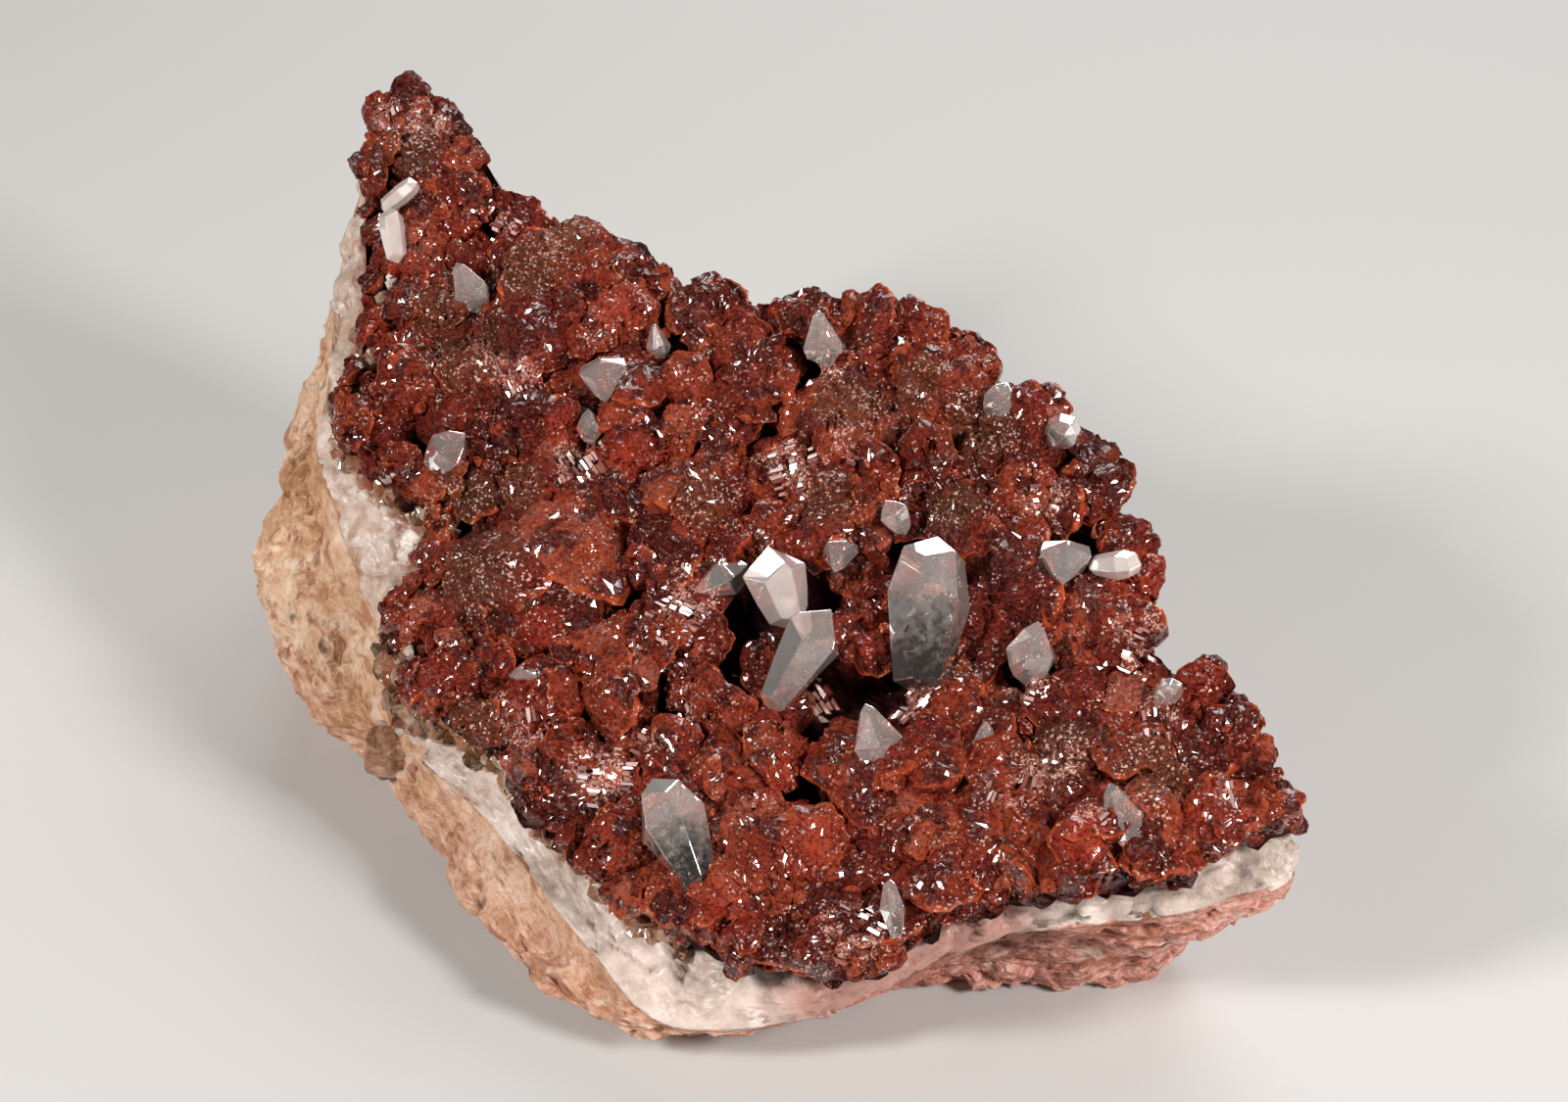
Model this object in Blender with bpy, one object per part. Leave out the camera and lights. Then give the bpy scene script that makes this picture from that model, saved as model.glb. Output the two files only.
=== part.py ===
"""Roselite on calcite: a broken lump of pale rock with a calcite vein on top, a crust of red
lens-shaped aggregates over the vein, and clear calcite crystals standing on the crust.

Units are millimetres in the design and metres in the scene. The rock rests on its flat underside
at z = 0. The crust lies in a plane that leans towards the front, called the slab here: u runs to
the right along it, v runs up it, and w stands out of it.
"""

from math import cos, pi, radians, sin

import bmesh
import bpy
import numpy as np
from mathutils import Vector
from mathutils.geometry import delaunay_2d_cdt

MM = 0.001
GAP = 0.3

# Middle of the specimen's footprint in the design, which is moved to the origin
FOOTPRINT_MIDDLE = np.array([-2.28, -24.06, 0])

# Slab: its middle, the way it faces, and the levels of the layers under it
SLAB_MIDDLE = np.array([0.0, -29.0, 21.5])
SLAB_FACING = np.array([-0.23, -0.526, 1.0])
CRUST_FLOOR = -2.0
PIT_FLOOR = -1.5
GROUND_BETWEEN_LENSES = -0.9
RIM_UNDERCUT = 0.9

# Sight line of the reference picture, for turning a place in it into one on the slab
PICTURE_SIZE = (1600, 1125)
SIGHT_DISTANCE = 292.0
SIGHT_ELEVATION = radians(36)
LENS_OVER_SENSOR = 92.6 / 36

# Outline of the crust on the slab (u, v), from the upper left tip down its left side
CRUST_OUTLINE = [
    (-29.2, 36.3), (-29.3, 30), (-29.2, 24), (-28.8, 19), (-30.5, 12), (-27, 7.8), (-24, 5),
    (-23.6, 1.5), (-26, -1.5), (-25.6, -7.2), (-21, -10.4), (-17, -15), (-13.5, -19), (-9.4, -23.6),
    (-3.6, -27.4), (4.2, -29.2), (8, -27.5), (11.2, -25.4), (16, -24.8), (22.6, -24.8),
    (26.3, -22.8), (31.2, -21.6), (29.6, -16.5), (27.4, -12), (23.6, -11), (22.8, -7.5),
    (23.4, -3.4), (21.2, -0.2), (21.2, 3.4), (17.8, 8.3), (13.8, 10.6), (11.6, 13.4), (6.4, 16.6),
    (2.4, 18), (-1.4, 17.8), (-6.6, 19.8), (-10.6, 23.2), (-15.4, 24.8), (-20.2, 28.4),
    (-22.6, 33), (-23.4, 36), (-26.4, 37.4),
]

# Walls of the specimen: 24 stations from the upper left tip down the left side and round.
# VEIN_TOP is on the slab (u, v); the others are places in space (x, y, z).
VEIN_TOP = [
    (-28.8, 35.6), (-29, 26), (-28.6, 18.6), (-30, 11.8), (-24.4, 4), (-25.4, -4), (-20.8, -10),
    (-15.4, -16.6), (-9.4, -23), (-3.8, -26.8), (4, -28.4), (11, -24.8), (19, -24), (26, -22),
    (30.6, -21), (28, -14), (22.6, -9), (21.4, 0), (16.8, 7.6), (8.6, 14.6), (-1.2, 17), (-9, 21.4),
    (-17, 25.2), (-23, 34.6),
]
VEIN_EDGE = [
    (-28.4, 5.5, 28.6), (-30.4, -3, 24.5), (-30.6, -9, 21.6), (-31, -14.6, 18.6),
    (-29, -20.6, 15.6), (-26.6, -25.6, 12.6), (-25, -32.6, 9.2), (-18.6, -40.2, 8),
    (-12.2, -49.4, 5.8), (-6.8, -54.6, 3.8), (3.6, -53.6, 4.4), (11.6, -51.4, 8),
    (19, -51.8, 9.6), (25.8, -52.2, 11.4), (30.8, -51, 13.2), (28, -44, 14.8), (22.8, -39, 15.6),
    (21.6, -30.6, 19.4), (17, -22.6, 23), (8.8, -15.8, 25), (-1.4, -11.6, 25), (-9, -8.2, 25.4),
    (-17, -3.6, 26.2), (-22.2, 4.4, 28.8),
]
ROCK_BELLY = [
    (-28.6, 7, 16), (-31.4, 2, 16), (-33, -5, 16), (-33.8, -11, 15), (-34.9, -17.6, 11),
    (-33, -23.2, 7.4), (-27.6, -29.4, 5), (-22.4, -37, 4.2), (-16.6, -49, 3.6), (-8.6, -53, 2.2),
    (3, -51.4, 2.2), (11.6, -49.2, 5), (19, -50, 6.4), (25.6, -50.6, 8.6), (29.4, -49.6, 11),
    (27.4, -43, 11), (23.6, -37.4, 11), (21.6, -29.6, 12), (18, -21.4, 13), (9.6, -14, 14),
    (-1, -9.6, 14), (-9, -5.6, 14), (-16.6, -1, 15), (-22, 6, 15),
]
ROCK_FOOT = [
    (-26.4, 5, 1), (-29, 1, 1), (-31, -6, 1), (-31.6, -11, 1), (-32, -17, 1), (-30, -22, 1.4),
    (-24.6, -28, 1.4), (-18.6, -35, 1.4), (-12.6, -45, 1.8), (-7, -49.6, 1), (3, -48.6, 1),
    (10.6, -47.4, 2), (16.4, -46.8, 0.7), (22.2, -46.4, 0.7), (24.2, -43.8, 1.4), (23.2, -40.2, 1.4),
    (21, -36, 1.4), (19.6, -29, 1), (16.6, -21, 1), (9, -14, 1), (-1, -10, 1), (-9, -6, 1),
    (-16, -2, 1), (-21.4, 4, 1),
]
BASE_INSET = 1.2
WALL_STATIONS = 84
VEIN_DEPTH = 1.6
VEIN_INSET = 1.2

# Knobs on the rock: middle, half sizes, and how far the lower end is drawn to a point
ROCK_KNOBS = [
    ((16.4, -45.6, 1.7), (1.5, 1.7, 1.7), 0.5),
    ((22.4, -45.2, 2.0), (1.9, 2.0, 2.0), 0.4),
    ((-23.2, -34.2, 5.6), (1.5, 1.6, 2.4), 0.3),
    ((-25.2, -31.8, 7.2), (2.0, 1.8, 1.8), 0.9),
]

# Lens-shaped aggregates of the crust: middle and half width in the picture
AGGREGATES = [
    (405, 120, 28), (450, 130, 24), (473, 152, 20), (425, 160, 32), (388, 155, 20), (455, 185, 28),
    (486, 205, 22), (430, 215, 28), (465, 225, 20), (525, 222, 24), (440, 250, 28), (482, 258, 20),
    (520, 258, 22), (412, 270, 17), (545, 278, 38), (577, 250, 32), (590, 288, 34), (630, 266, 33),
    (655, 290, 22), (640, 322, 28), (430, 300, 28), (455, 326, 32), (500, 322, 22), (560, 326, 45),
    (600, 338, 25), (430, 342, 22), (400, 350, 20), (455, 366, 30), (490, 380, 28), (526, 390, 25),
    (550, 364, 20), (420, 398, 32), (452, 420, 30), (580, 400, 28), (540, 430, 30), (490, 425, 28),
    (655, 385, 40), (700, 400, 30), (685, 430, 28), (735, 322, 32), (702, 318, 22), (563, 442, 28),
    (500, 455, 25), (650, 452, 26), (620, 480, 24), (555, 480, 28), (390, 432, 24), (362, 432, 20),
    (410, 470, 22), (452, 484, 24), (775, 332, 28), (830, 320, 28), (890, 335, 35), (940, 352, 30),
    (985, 372, 26), (875, 372, 30), (765, 370, 35), (728, 352, 22), (915, 376, 24), (962, 402, 38),
    (740, 420, 35), (782, 400, 28), (855, 430, 42), (902, 405, 24), (930, 440, 32), (945, 474, 30),
    (890, 490, 28), (820, 480, 30), (775, 480, 30), (850, 506, 30), (725, 470, 26), (740, 512, 24),
    (1040, 440, 40), (1066, 415, 20), (1000, 472, 30), (1106, 496, 36), (1045, 500, 26),
    (980, 525, 36), (1006, 562, 24), (1062, 522, 26), (872, 532, 26), (920, 520, 26),
    (840, 546, 30), (790, 546, 26), (1150, 555, 24), (1160, 595, 22), (1120, 612, 28),
    (1032, 606, 50), (1098, 628, 30), (876, 580, 26), (900, 612, 26), (510, 592, 48),
    (452, 566, 26), (590, 562, 50), (640, 502, 30), (700, 500, 36), (682, 560, 36), (742, 562, 28),
    (560, 622, 40), (612, 652, 40), (424, 630, 28), (462, 642, 26), (520, 642, 32), (482, 502, 28),
    (532, 502, 28), (690, 612, 36), (662, 662, 26), (710, 652, 28), (620, 702, 38), (582, 690, 22),
    (540, 722, 34), (462, 692, 26), (502, 682, 26), (430, 694, 22), (702, 690, 22), (735, 722, 28),
    (782, 672, 24), (650, 746, 24), (560, 762, 30), (690, 770, 28), (662, 790, 26), (742, 792, 36),
    (792, 770, 26), (792, 722, 28), (600, 806, 32), (630, 780, 28), (582, 774, 24), (700, 822, 30),
    (762, 842, 34), (642, 862, 28), (596, 852, 22), (490, 738, 22), (546, 806, 24), (802, 842, 28),
    (880, 652, 30), (975, 634, 32), (970, 692, 32), (1002, 652, 28), (990, 722, 34),
    (1100, 662, 28), (1145, 652, 32), (1090, 716, 30), (1002, 762, 34), (930, 762, 36),
    (876, 782, 36), (1090, 762, 36), (1150, 762, 34), (1190, 742, 30), (1224, 772, 34),
    (1224, 706, 24), (1254, 752, 26), (1040, 792, 36), (1086, 802, 26), (1026, 852, 50),
    (950, 802, 26), (890, 822, 28), (920, 852, 36), (962, 852, 30), (902, 892, 36), (962, 896, 34),
    (996, 906, 24), (1130, 832, 36), (1120, 868, 34), (1190, 832, 30), (1184, 872, 28),
    (1250, 822, 28), (1232, 846, 24), (1296, 820, 22), (1092, 886, 26), (832, 872, 36),
    (866, 930, 34), (828, 926, 36), (772, 902, 36), (722, 896, 28), (700, 926, 28), (664, 902, 30),
    (756, 946, 26), (800, 958, 26), (850, 966, 28), (908, 944, 24), (618, 870, 22), (1150, 700, 28),
]

# Deep gaps between the aggregates: middle, half length and half width in the picture, and turn
PITS = [
    (682, 322, 30, 9, 55), (506, 296, 22, 6, -10), (640, 292, 20, 6, -20), (432, 456, 22, 10, -50),
    (975, 470, 34, 10, 60), (948, 532, 28, 8, 85), (905, 448, 16, 8, 50), (820, 402, 14, 9, 20),
    (845, 606, 26, 14, -10), (757, 660, 24, 18, 70), (855, 732, 36, 9, 50), (490, 717, 14, 8, 20),
    (1064, 880, 34, 10, 65), (1062, 704, 14, 9, -30), (966, 776, 22, 7, -70), (838, 822, 18, 7, 0),
    (552, 612, 26, 6, 80), (640, 580, 24, 7, 75), (744, 752, 24, 6, 0), (932, 402, 15, 7, -75),
    (1128, 548, 20, 8, 40), (842, 962, 22, 6, 50), (690, 748, 16, 6, 0), (1236, 826, 22, 7, -35),
    (1132, 690, 12, 8, 40), (890, 840, 16, 6, -40),
]

# Calcite crystals: middle in the picture, length and width in the picture, turn of the long axis
# on the slab, lean out of it, height of the middle over the slab, and how blunt the far end is
CRYSTALS = [
    ("calcite_crystal_01", 948, 628, 138, 70, 78, 24, 3.4, 0.34),
    ("calcite_crystal_02", 691, 852, 108, 58, 112, 16, 2.8, 0.34),
    ("calcite_crystal_03", 797, 600, 82, 50, 102, 48, 2.6, 0.42),
    ("calcite_crystal_04", 818, 672, 100, 44, 46, 28, 2.6, 0.20),
    ("calcite_crystal_05", 735, 592, 62, 36, 14, 22, 1.8, 0.10),
    ("calcite_crystal_06", 1055, 668, 60, 42, 74, 34, 2.4, 0.16),
    ("calcite_crystal_07", 1086, 575, 54, 46, 268, 20, 2.4, 0.14),
    ("calcite_crystal_08", 1138, 577, 54, 24, -16, 14, 2.4, 0.40),
    ("calcite_crystal_09", 894, 756, 68, 44, 102, 34, 2.4, 0.10),
    ("calcite_crystal_10", 1008, 758, 38, 23, 88, 30, 2.0, 0.16),
    ("calcite_crystal_11", 618, 390, 60, 42, 276, 24, 2.4, 0.16),
    ("calcite_crystal_12", 603, 436, 36, 26, 94, 24, 2.0, 0.30),
    ("calcite_crystal_13", 840, 346, 54, 36, 96, 30, 2.6, 0.12),
    ("calcite_crystal_14", 672, 350, 38, 21, 98, 34, 1.6, 0.08),
    ("calcite_crystal_15", 456, 464, 54, 42, 36, 24, 1.9, 0.40),
    ("calcite_crystal_16", 481, 294, 56, 32, 118, 26, 2.2, 0.12),
    ("calcite_crystal_17", 404, 244, 48, 24, 8, 14, 1.9, 0.44),
    ("calcite_crystal_18", 408, 200, 46, 15, 16, 12, 2.0, 0.40),
    ("calcite_crystal_19", 1084, 442, 38, 34, 40, 24, 2.4, 0.44),
    ("calcite_crystal_20", 1020, 410, 38, 30, 60, 24, 2.2, 0.44),
    ("calcite_crystal_21", 1150, 836, 68, 34, 112, 18, 2.4, 0.24),
    ("calcite_crystal_22", 1192, 708, 32, 26, 20, 26, 2.2, 0.40),
    ("calcite_crystal_23", 912, 928, 52, 20, 94, 22, 2.4, 0.26),
    ("calcite_crystal_24", 856, 567, 46, 30, 266, 24, 2.2, 0.20),
    ("calcite_crystal_25", 914, 528, 36, 28, 120, 30, 2.2, 0.20),
    ("calcite_crystal_26", 534, 690, 34, 22, -20, 22, 1.9, 0.16),
]
CRYSTAL_SIDES = 6


def unit(vector):
    return vector / np.linalg.norm(vector)


SLAB_OUT = unit(SLAB_FACING)
SLAB_RIGHT = unit(np.array([1.0, 0, 0]) - SLAB_OUT[0] * SLAB_OUT)
SLAB_UP = np.cross(SLAB_OUT, SLAB_RIGHT)
SIGHT_FORWARD = np.array([0, cos(SIGHT_ELEVATION), -sin(SIGHT_ELEVATION)])
SIGHT_UP = np.array([0, sin(SIGHT_ELEVATION), cos(SIGHT_ELEVATION)])
EYE = -SIGHT_DISTANCE * SIGHT_FORWARD
PICTURE_SCALE = PICTURE_SIZE[0] * LENS_OVER_SENSOR / SIGHT_DISTANCE


def on_slab(x, y, w=0.0):
    """(u, v) of the place at height w over the slab that is seen at picture point (x, y)."""
    across = (x - PICTURE_SIZE[0] / 2) / PICTURE_SIZE[0] / LENS_OVER_SENSOR
    upward = (PICTURE_SIZE[1] / 2 - y) / PICTURE_SIZE[0] / LENS_OVER_SENSOR
    sight = SIGHT_FORWARD + across * np.array([1.0, 0, 0]) + upward * SIGHT_UP
    reach = (w - (EYE - SLAB_MIDDLE) @ SLAB_OUT) / (sight @ SLAB_OUT)
    place = EYE + reach * sight - SLAB_MIDDLE
    return np.array([place @ SLAB_RIGHT, place @ SLAB_UP])


def in_space(points):
    """Places in space of slab points (u, v, w)."""
    axes = np.array([SLAB_RIGHT, SLAB_UP, SLAB_OUT])
    return SLAB_MIDDLE + np.asarray(points, float) @ axes


def smooth_loop(points, count):
    """A closed Catmull-Rom curve through the points, read at count equal steps of its knots."""
    knots = np.asarray(points, float)
    step = np.arange(count) * len(knots) / count
    index = step.astype(int)
    t = (step - index)[:, None]
    a, b, c, d = (knots[(index + k) % len(knots)] for k in (-1, 0, 1, 2))
    return b + 0.5 * t * (c - a + t * (2 * a - 5 * b + 4 * c - d + t * (3 * (b - c) + d - a)))


def material(name, colour, roughness, transmission=0.0):
    made = bpy.data.materials.new(name)
    made.use_nodes = True
    shader = made.node_tree.nodes["Principled BSDF"]
    shader.inputs["Base Color"].default_value = (*colour, 1)
    shader.inputs["Roughness"].default_value = roughness
    shader.inputs["Metallic"].default_value = 0
    shader.inputs["Transmission Weight"].default_value = transmission
    made.diffuse_color = (*colour, 1)
    return made


def add_piece(name, form, collection, look):
    """An object from a bmesh in millimetres of the design."""
    bmesh.ops.translate(form, vec=-FOOTPRINT_MIDDLE, verts=form.verts)
    bmesh.ops.scale(form, vec=(MM, MM, MM), verts=form.verts)
    bmesh.ops.recalc_face_normals(form, faces=form.faces)
    if form.calc_volume(signed=True) < 0:
        bmesh.ops.reverse_faces(form, faces=form.faces)
    mesh = bpy.data.meshes.new(name)
    form.to_mesh(mesh)
    form.free()
    piece = bpy.data.objects.new(name, mesh)
    if look:
        mesh.materials.append(look)
    collection.objects.link(piece)
    return piece


def loft(rings):
    """A closed form: rings of equal count joined side to side, with flat or tented ends."""
    form = bmesh.new()
    loops = [[form.verts.new(place) for place in ring] for ring in rings]
    count = len(loops[0])
    for upper, lower in zip(loops, loops[1:]):
        for i in range(count):
            j = (i + 1) % count
            form.faces.new((upper[i], lower[i], lower[j], upper[j]))
    form.faces.new(loops[0][::-1])
    form.faces.new(loops[-1])
    bmesh.ops.triangulate(form, faces=form.faces)
    return form


def outward_of(ring):
    """Level unit vectors across the run of a ring that goes round against the clock."""
    run = np.roll(ring, -2, axis=0) - np.roll(ring, 2, axis=0)
    outward = np.column_stack([run[:, 1], -run[:, 0]])
    return outward / np.linalg.norm(outward, axis=1)[:, None]


def drawn_in(ring, inset, level):
    """The ring moved in by inset and laid on a level of the slab."""
    inner = ring.copy()
    inner[:, :2] -= inset * outward_of(ring)
    return inner - np.outer((inner - SLAB_MIDDLE) @ SLAB_OUT - level, SLAB_OUT)


def roughened(ring, random, amount):
    """The ring moved out and in across its own run, in steps some places wide and finely."""
    count = len(ring)
    steps = np.repeat(random.uniform(-1, 0.7, count // 3 + 1), 3)[:count]
    fine = random.uniform(-0.5, 0.4, count)
    moved = ring.copy()
    moved[:, :2] += outward_of(ring) * (amount * (steps + fine))[:, None]
    moved[:, 2] += amount * random.uniform(-0.3, 0.3, count)
    return moved


def rough_between(ring, other, share, random, amount):
    """A roughened ring part of the way to the other, calmer where the two are close."""
    room = 0.25 * np.linalg.norm(other - ring, axis=1)
    return roughened(ring + share * (other - ring), random, np.minimum(amount, room))


def hull(points):
    """The convex form round the points."""
    form = bmesh.new()
    corners = [form.verts.new(point) for point in points]
    made = bmesh.ops.convex_hull(form, input=corners)
    loose = [part for part in made["geom_interior"] + made["geom_unused"]
             if isinstance(part, bmesh.types.BMVert)]
    bmesh.ops.delete(form, geom=list(set(loose)), context="VERTS")
    return form


def joined_forms(forms):
    """One bmesh that holds the bodies of all the forms."""
    joined = bmesh.new()
    for form in forms:
        mesh = bpy.data.meshes.new("part_of_joined_form")
        form.to_mesh(mesh)
        form.free()
        joined.from_mesh(mesh)
        bpy.data.meshes.remove(mesh)
    return joined


def add_cutter(name, forms, collection):
    cutter = add_piece(name, joined_forms(forms), collection, None)
    cutter.hide_render = True
    cutter.display_type = "WIRE"
    return cutter


def boolean(target, other, operation):
    modifier = target.modifiers.new(other.name, "BOOLEAN")
    modifier.operation = operation
    modifier.solver = "EXACT"
    modifier.object = other


def knob(middle, half_sizes, point):
    """A blocky broken knob: two square rings turned against each other and a smaller lower one."""
    rings = ((1.0, 0.6, 0.3), (0.1, 1.0, 0.9), (-1.0, point, 0.2))
    points = [
        np.array(middle) + np.array(half_sizes) * (share * cos(angle), share * sin(angle), level)
        for level, share, twist in rings
        for angle in (twist + pi / 2.5 * corner for corner in range(5))
    ]
    return hull(points)


def rock_and_vein(collection, cutters, rock_look, vein_look):
    """The vein is lofted from the slab to its lower edge, the rock from there to the ground."""
    random = np.random.default_rng(5)
    inner_level = CRUST_FLOOR - VEIN_DEPTH
    flat = smooth_loop(VEIN_TOP, WALL_STATIONS)
    top = in_space(np.column_stack([flat, np.full(WALL_STATIONS, CRUST_FLOOR - GAP)]))
    edge = roughened(smooth_loop(VEIN_EDGE, WALL_STATIONS), random, 0.3)
    belly = roughened(smooth_loop(ROCK_BELLY, WALL_STATIONS), random, 0.6)
    foot = roughened(smooth_loop(ROCK_FOOT, WALL_STATIONS), random, 0.25)
    vein_rings = [
        top,
        rough_between(top, edge, 0.35, random, 0.4),
        rough_between(top, edge, 0.7, random, 0.4),
        edge,
        drawn_in(edge, VEIN_INSET, inner_level),
    ]
    add_piece("calcite_vein", loft(vein_rings), collection, vein_look)

    drop = GAP * SLAB_OUT * 1.6
    upper = edge - drop
    foot[:, 2] = np.maximum(foot[:, 2], 0.5)
    base = foot.copy()
    base[:, :2] -= BASE_INSET * outward_of(foot)
    base[:, 2] = 0
    rock_rings = [
        drawn_in(edge, VEIN_INSET, inner_level) - drop,
        upper,
        rough_between(upper, belly, 0.35, random, 0.8),
        rough_between(upper, belly, 0.7, random, 1.0),
        belly,
        rough_between(belly, foot, 0.4, random, 1.0),
        rough_between(belly, foot, 0.75, random, 0.8),
        foot,
        base,
    ]
    rock = add_piece("matrix_rock", loft(rock_rings), collection, rock_look)
    knobs = add_cutter("rock_knobs", [knob(*row) for row in ROCK_KNOBS], cutters)
    boolean(rock, knobs, "UNION")
    keep_largest_body(rock)


class Crust:
    """Height of the crust over the slab: the highest of many leaning lenses, less the pits."""

    def __init__(self):
        random = np.random.default_rng(11)
        spots = np.array([[*on_slab(x, y, 1.0), half / PICTURE_SCALE] for x, y, half in AGGREGATES])
        self.middle = spots[:, :2]
        self.radius = spots[:, 2] * 1.16
        turn = random.uniform(0, 2 * pi, len(spots))
        slope = random.uniform(0.05, 0.5, len(spots))
        self.slope = np.column_stack([slope * np.cos(turn), slope * np.sin(turn)])
        self.top = 0.5 + 0.42 * self.radius + random.uniform(-0.5, 0.9, len(spots))
        self.bulge = 0.5 * self.radius
        self.pits = np.array([
            [*on_slab(x, y), long / PICTURE_SCALE, wide / PICTURE_SCALE, radians(turned)]
            for x, y, long, wide, turned in PITS
        ])

    def lens_heights(self, places):
        away = places[:, None] - self.middle
        share = np.linalg.norm(away, axis=2) / self.radius
        dome = self.bulge * (np.sqrt(np.clip(1 - share**2, 0, 1)) - 1)
        heights = self.top + dome + (away * self.slope).sum(axis=2)
        return np.where(share < 1, heights, -np.inf)

    def pit_share(self, places):
        away = places[:, None] - self.pits[:, :2]
        along = away[..., 0] * np.cos(self.pits[:, 4]) + away[..., 1] * np.sin(self.pits[:, 4])
        across = away[..., 1] * np.cos(self.pits[:, 4]) - away[..., 0] * np.sin(self.pits[:, 4])
        return np.hypot(along / self.pits[:, 2], across / self.pits[:, 3]).min(axis=1)

    def height(self, places):
        surface = np.maximum(self.lens_heights(places).max(axis=1), GROUND_BETWEEN_LENSES)
        deep = np.clip((1.25 - self.pit_share(places)) / 0.35, 0, 1)
        return surface + deep * (PIT_FLOOR - surface)

    def survey_points(self):
        """Lens middles and two rings of points round each, one on its brow and one at its foot."""
        sides = 8
        points = [self.middle]
        for share, offset in ((0.93, 0.0), (1.05, 0.5)):
            for side in range(sides):
                angle = 2 * pi * (side + offset) / sides
                reach = (self.radius * share)[:, None]
                points.append(self.middle + reach * np.array([cos(angle), sin(angle)]))
        for pit_reach in (0.85, 1.3):
            for angle in np.arange(8) * pi / 4:
                along = pit_reach * self.pits[:, 2] * cos(angle)
                across = pit_reach * self.pits[:, 3] * sin(angle)
                turn = self.pits[:, 4]
                offset = np.column_stack([
                    along * np.cos(turn) - across * np.sin(turn),
                    along * np.sin(turn) + across * np.cos(turn),
                ])
                points.append(self.pits[:, :2] + offset)
        return np.concatenate(points)


def inside(places, outline):
    """True where a place lies inside the closed outline, by counting crossings."""
    ahead = np.roll(outline, -1, axis=0)
    x, y = places[:, :1], places[:, 1:]
    spans = (outline[:, 1] > y) != (ahead[:, 1] > y)
    rise = np.where(ahead[:, 1] == outline[:, 1], 1.0, ahead[:, 1] - outline[:, 1])
    meets = outline[:, 0] + (y - outline[:, 1]) / rise * (ahead[:, 0] - outline[:, 0])
    return (spans & (x < meets)).sum(axis=1) % 2 == 1


def spread_out(points, spacing):
    """The points with any that stand closer than spacing to an earlier one left out."""
    kept = []
    for point in points:
        if not kept or np.min(np.linalg.norm(np.array(kept) - point, axis=1)) > spacing:
            kept.append(point)
    return np.array(kept)


def crust_form(crust):
    """A triangulated height field over the outline, with an undercut rim and a flat underside."""
    rim = smooth_loop(CRUST_OUTLINE, 126)
    count = len(rim)
    points = crust.survey_points()
    points = points[inside(points, rim)]
    clear = np.min(np.linalg.norm(points[:, None] - rim, axis=2), axis=1) > 0.6
    points = spread_out(points[clear], 0.6)
    flat = [Vector(place) for place in np.concatenate([rim, points])]
    loop = [(i, (i + 1) % count) for i in range(count)]
    places, _, faces, *_ = delaunay_2d_cdt(flat, loop, [], 1, 1e-6)
    places = np.array([tuple(place) for place in places])
    heights = crust.height(places)
    heights[:count] = np.maximum(heights[:count], -0.4)
    upper = in_space(np.column_stack([places, heights]))
    form = bmesh.new()
    top = [form.verts.new(place) for place in upper]
    for face in faces:
        form.faces.new([top[i] for i in face])
    inner = rim - RIM_UNDERCUT * outward_of(rim)
    under = in_space(np.column_stack([inner, np.full(count, CRUST_FLOOR)]))
    bottom = [form.verts.new(place) for place in under]
    for i in range(count):
        j = (i + 1) % count
        form.faces.new((top[i], top[j], bottom[j], bottom[i]))
    form.faces.new(bottom)
    bmesh.ops.triangulate(form, faces=[face for face in form.faces if len(face.verts) > 3])
    return form


def crystal_points(crystal, grown=0.0):
    """Rings of a six-sided crystal: a small root, a waist, a shoulder and a blunt or sharp end."""
    _, x, y, long, wide, turned, leaned, height, blunt = crystal
    middle = np.array([*on_slab(x, y, height), height])
    length = long / PICTURE_SCALE + 2 * grown
    half = wide / PICTURE_SCALE / 2 + grown
    turn, lean = radians(turned), radians(leaned)
    along = np.array([cos(lean) * cos(turn), cos(lean) * sin(turn), sin(lean)])
    side = np.array([-sin(turn), cos(turn), 0])
    third = np.cross(along, side)
    rings = ((-0.5, 0.34), (-0.28, 0.8), (0.05, 1.0), (0.3, 0.66), (0.5, blunt))
    points = []
    for place, share in rings:
        for corner in range(CRYSTAL_SIDES):
            angle = 2 * pi * corner / CRYSTAL_SIDES + 0.3
            zigzag = 0.05 * (-1) ** corner if abs(place) < 0.4 else 0
            out = half * share * (cos(angle) * side + 0.86 * sin(angle) * third)
            points.append(middle + (place + zigzag) * length * along + out)
    points = np.array(points)
    points[:, 2] = np.maximum(points[:, 2], PIT_FLOOR + 0.4 - grown)
    return in_space(points)


def keep_largest_body(piece):
    """Applies the piece's modifiers and drops the loose crumbs that a cut leaves."""
    depsgraph = bpy.context.evaluated_depsgraph_get()
    mesh = bpy.data.meshes.new_from_object(piece.evaluated_get(depsgraph))
    piece.modifiers.clear()
    form = bmesh.new()
    form.from_mesh(mesh)
    bmesh.ops.remove_doubles(form, verts=form.verts, dist=1e-6)
    waiting = set(form.verts)
    bodies = []
    while waiting:
        body, edge_of_search = set(), [waiting.pop()]
        while edge_of_search:
            vertex = edge_of_search.pop()
            body.add(vertex)
            for edge in vertex.link_edges:
                other = edge.other_vert(vertex)
                if other in waiting:
                    waiting.discard(other)
                    edge_of_search.append(other)
        bodies.append(body)
    bodies.sort(key=len)
    crumbs = [vertex for body in bodies[:-1] for vertex in body]
    bmesh.ops.delete(form, geom=crumbs, context="VERTS")
    bmesh.ops.triangulate(form, faces=form.faces)
    form.to_mesh(mesh)
    form.free()
    piece.data = mesh


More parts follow.
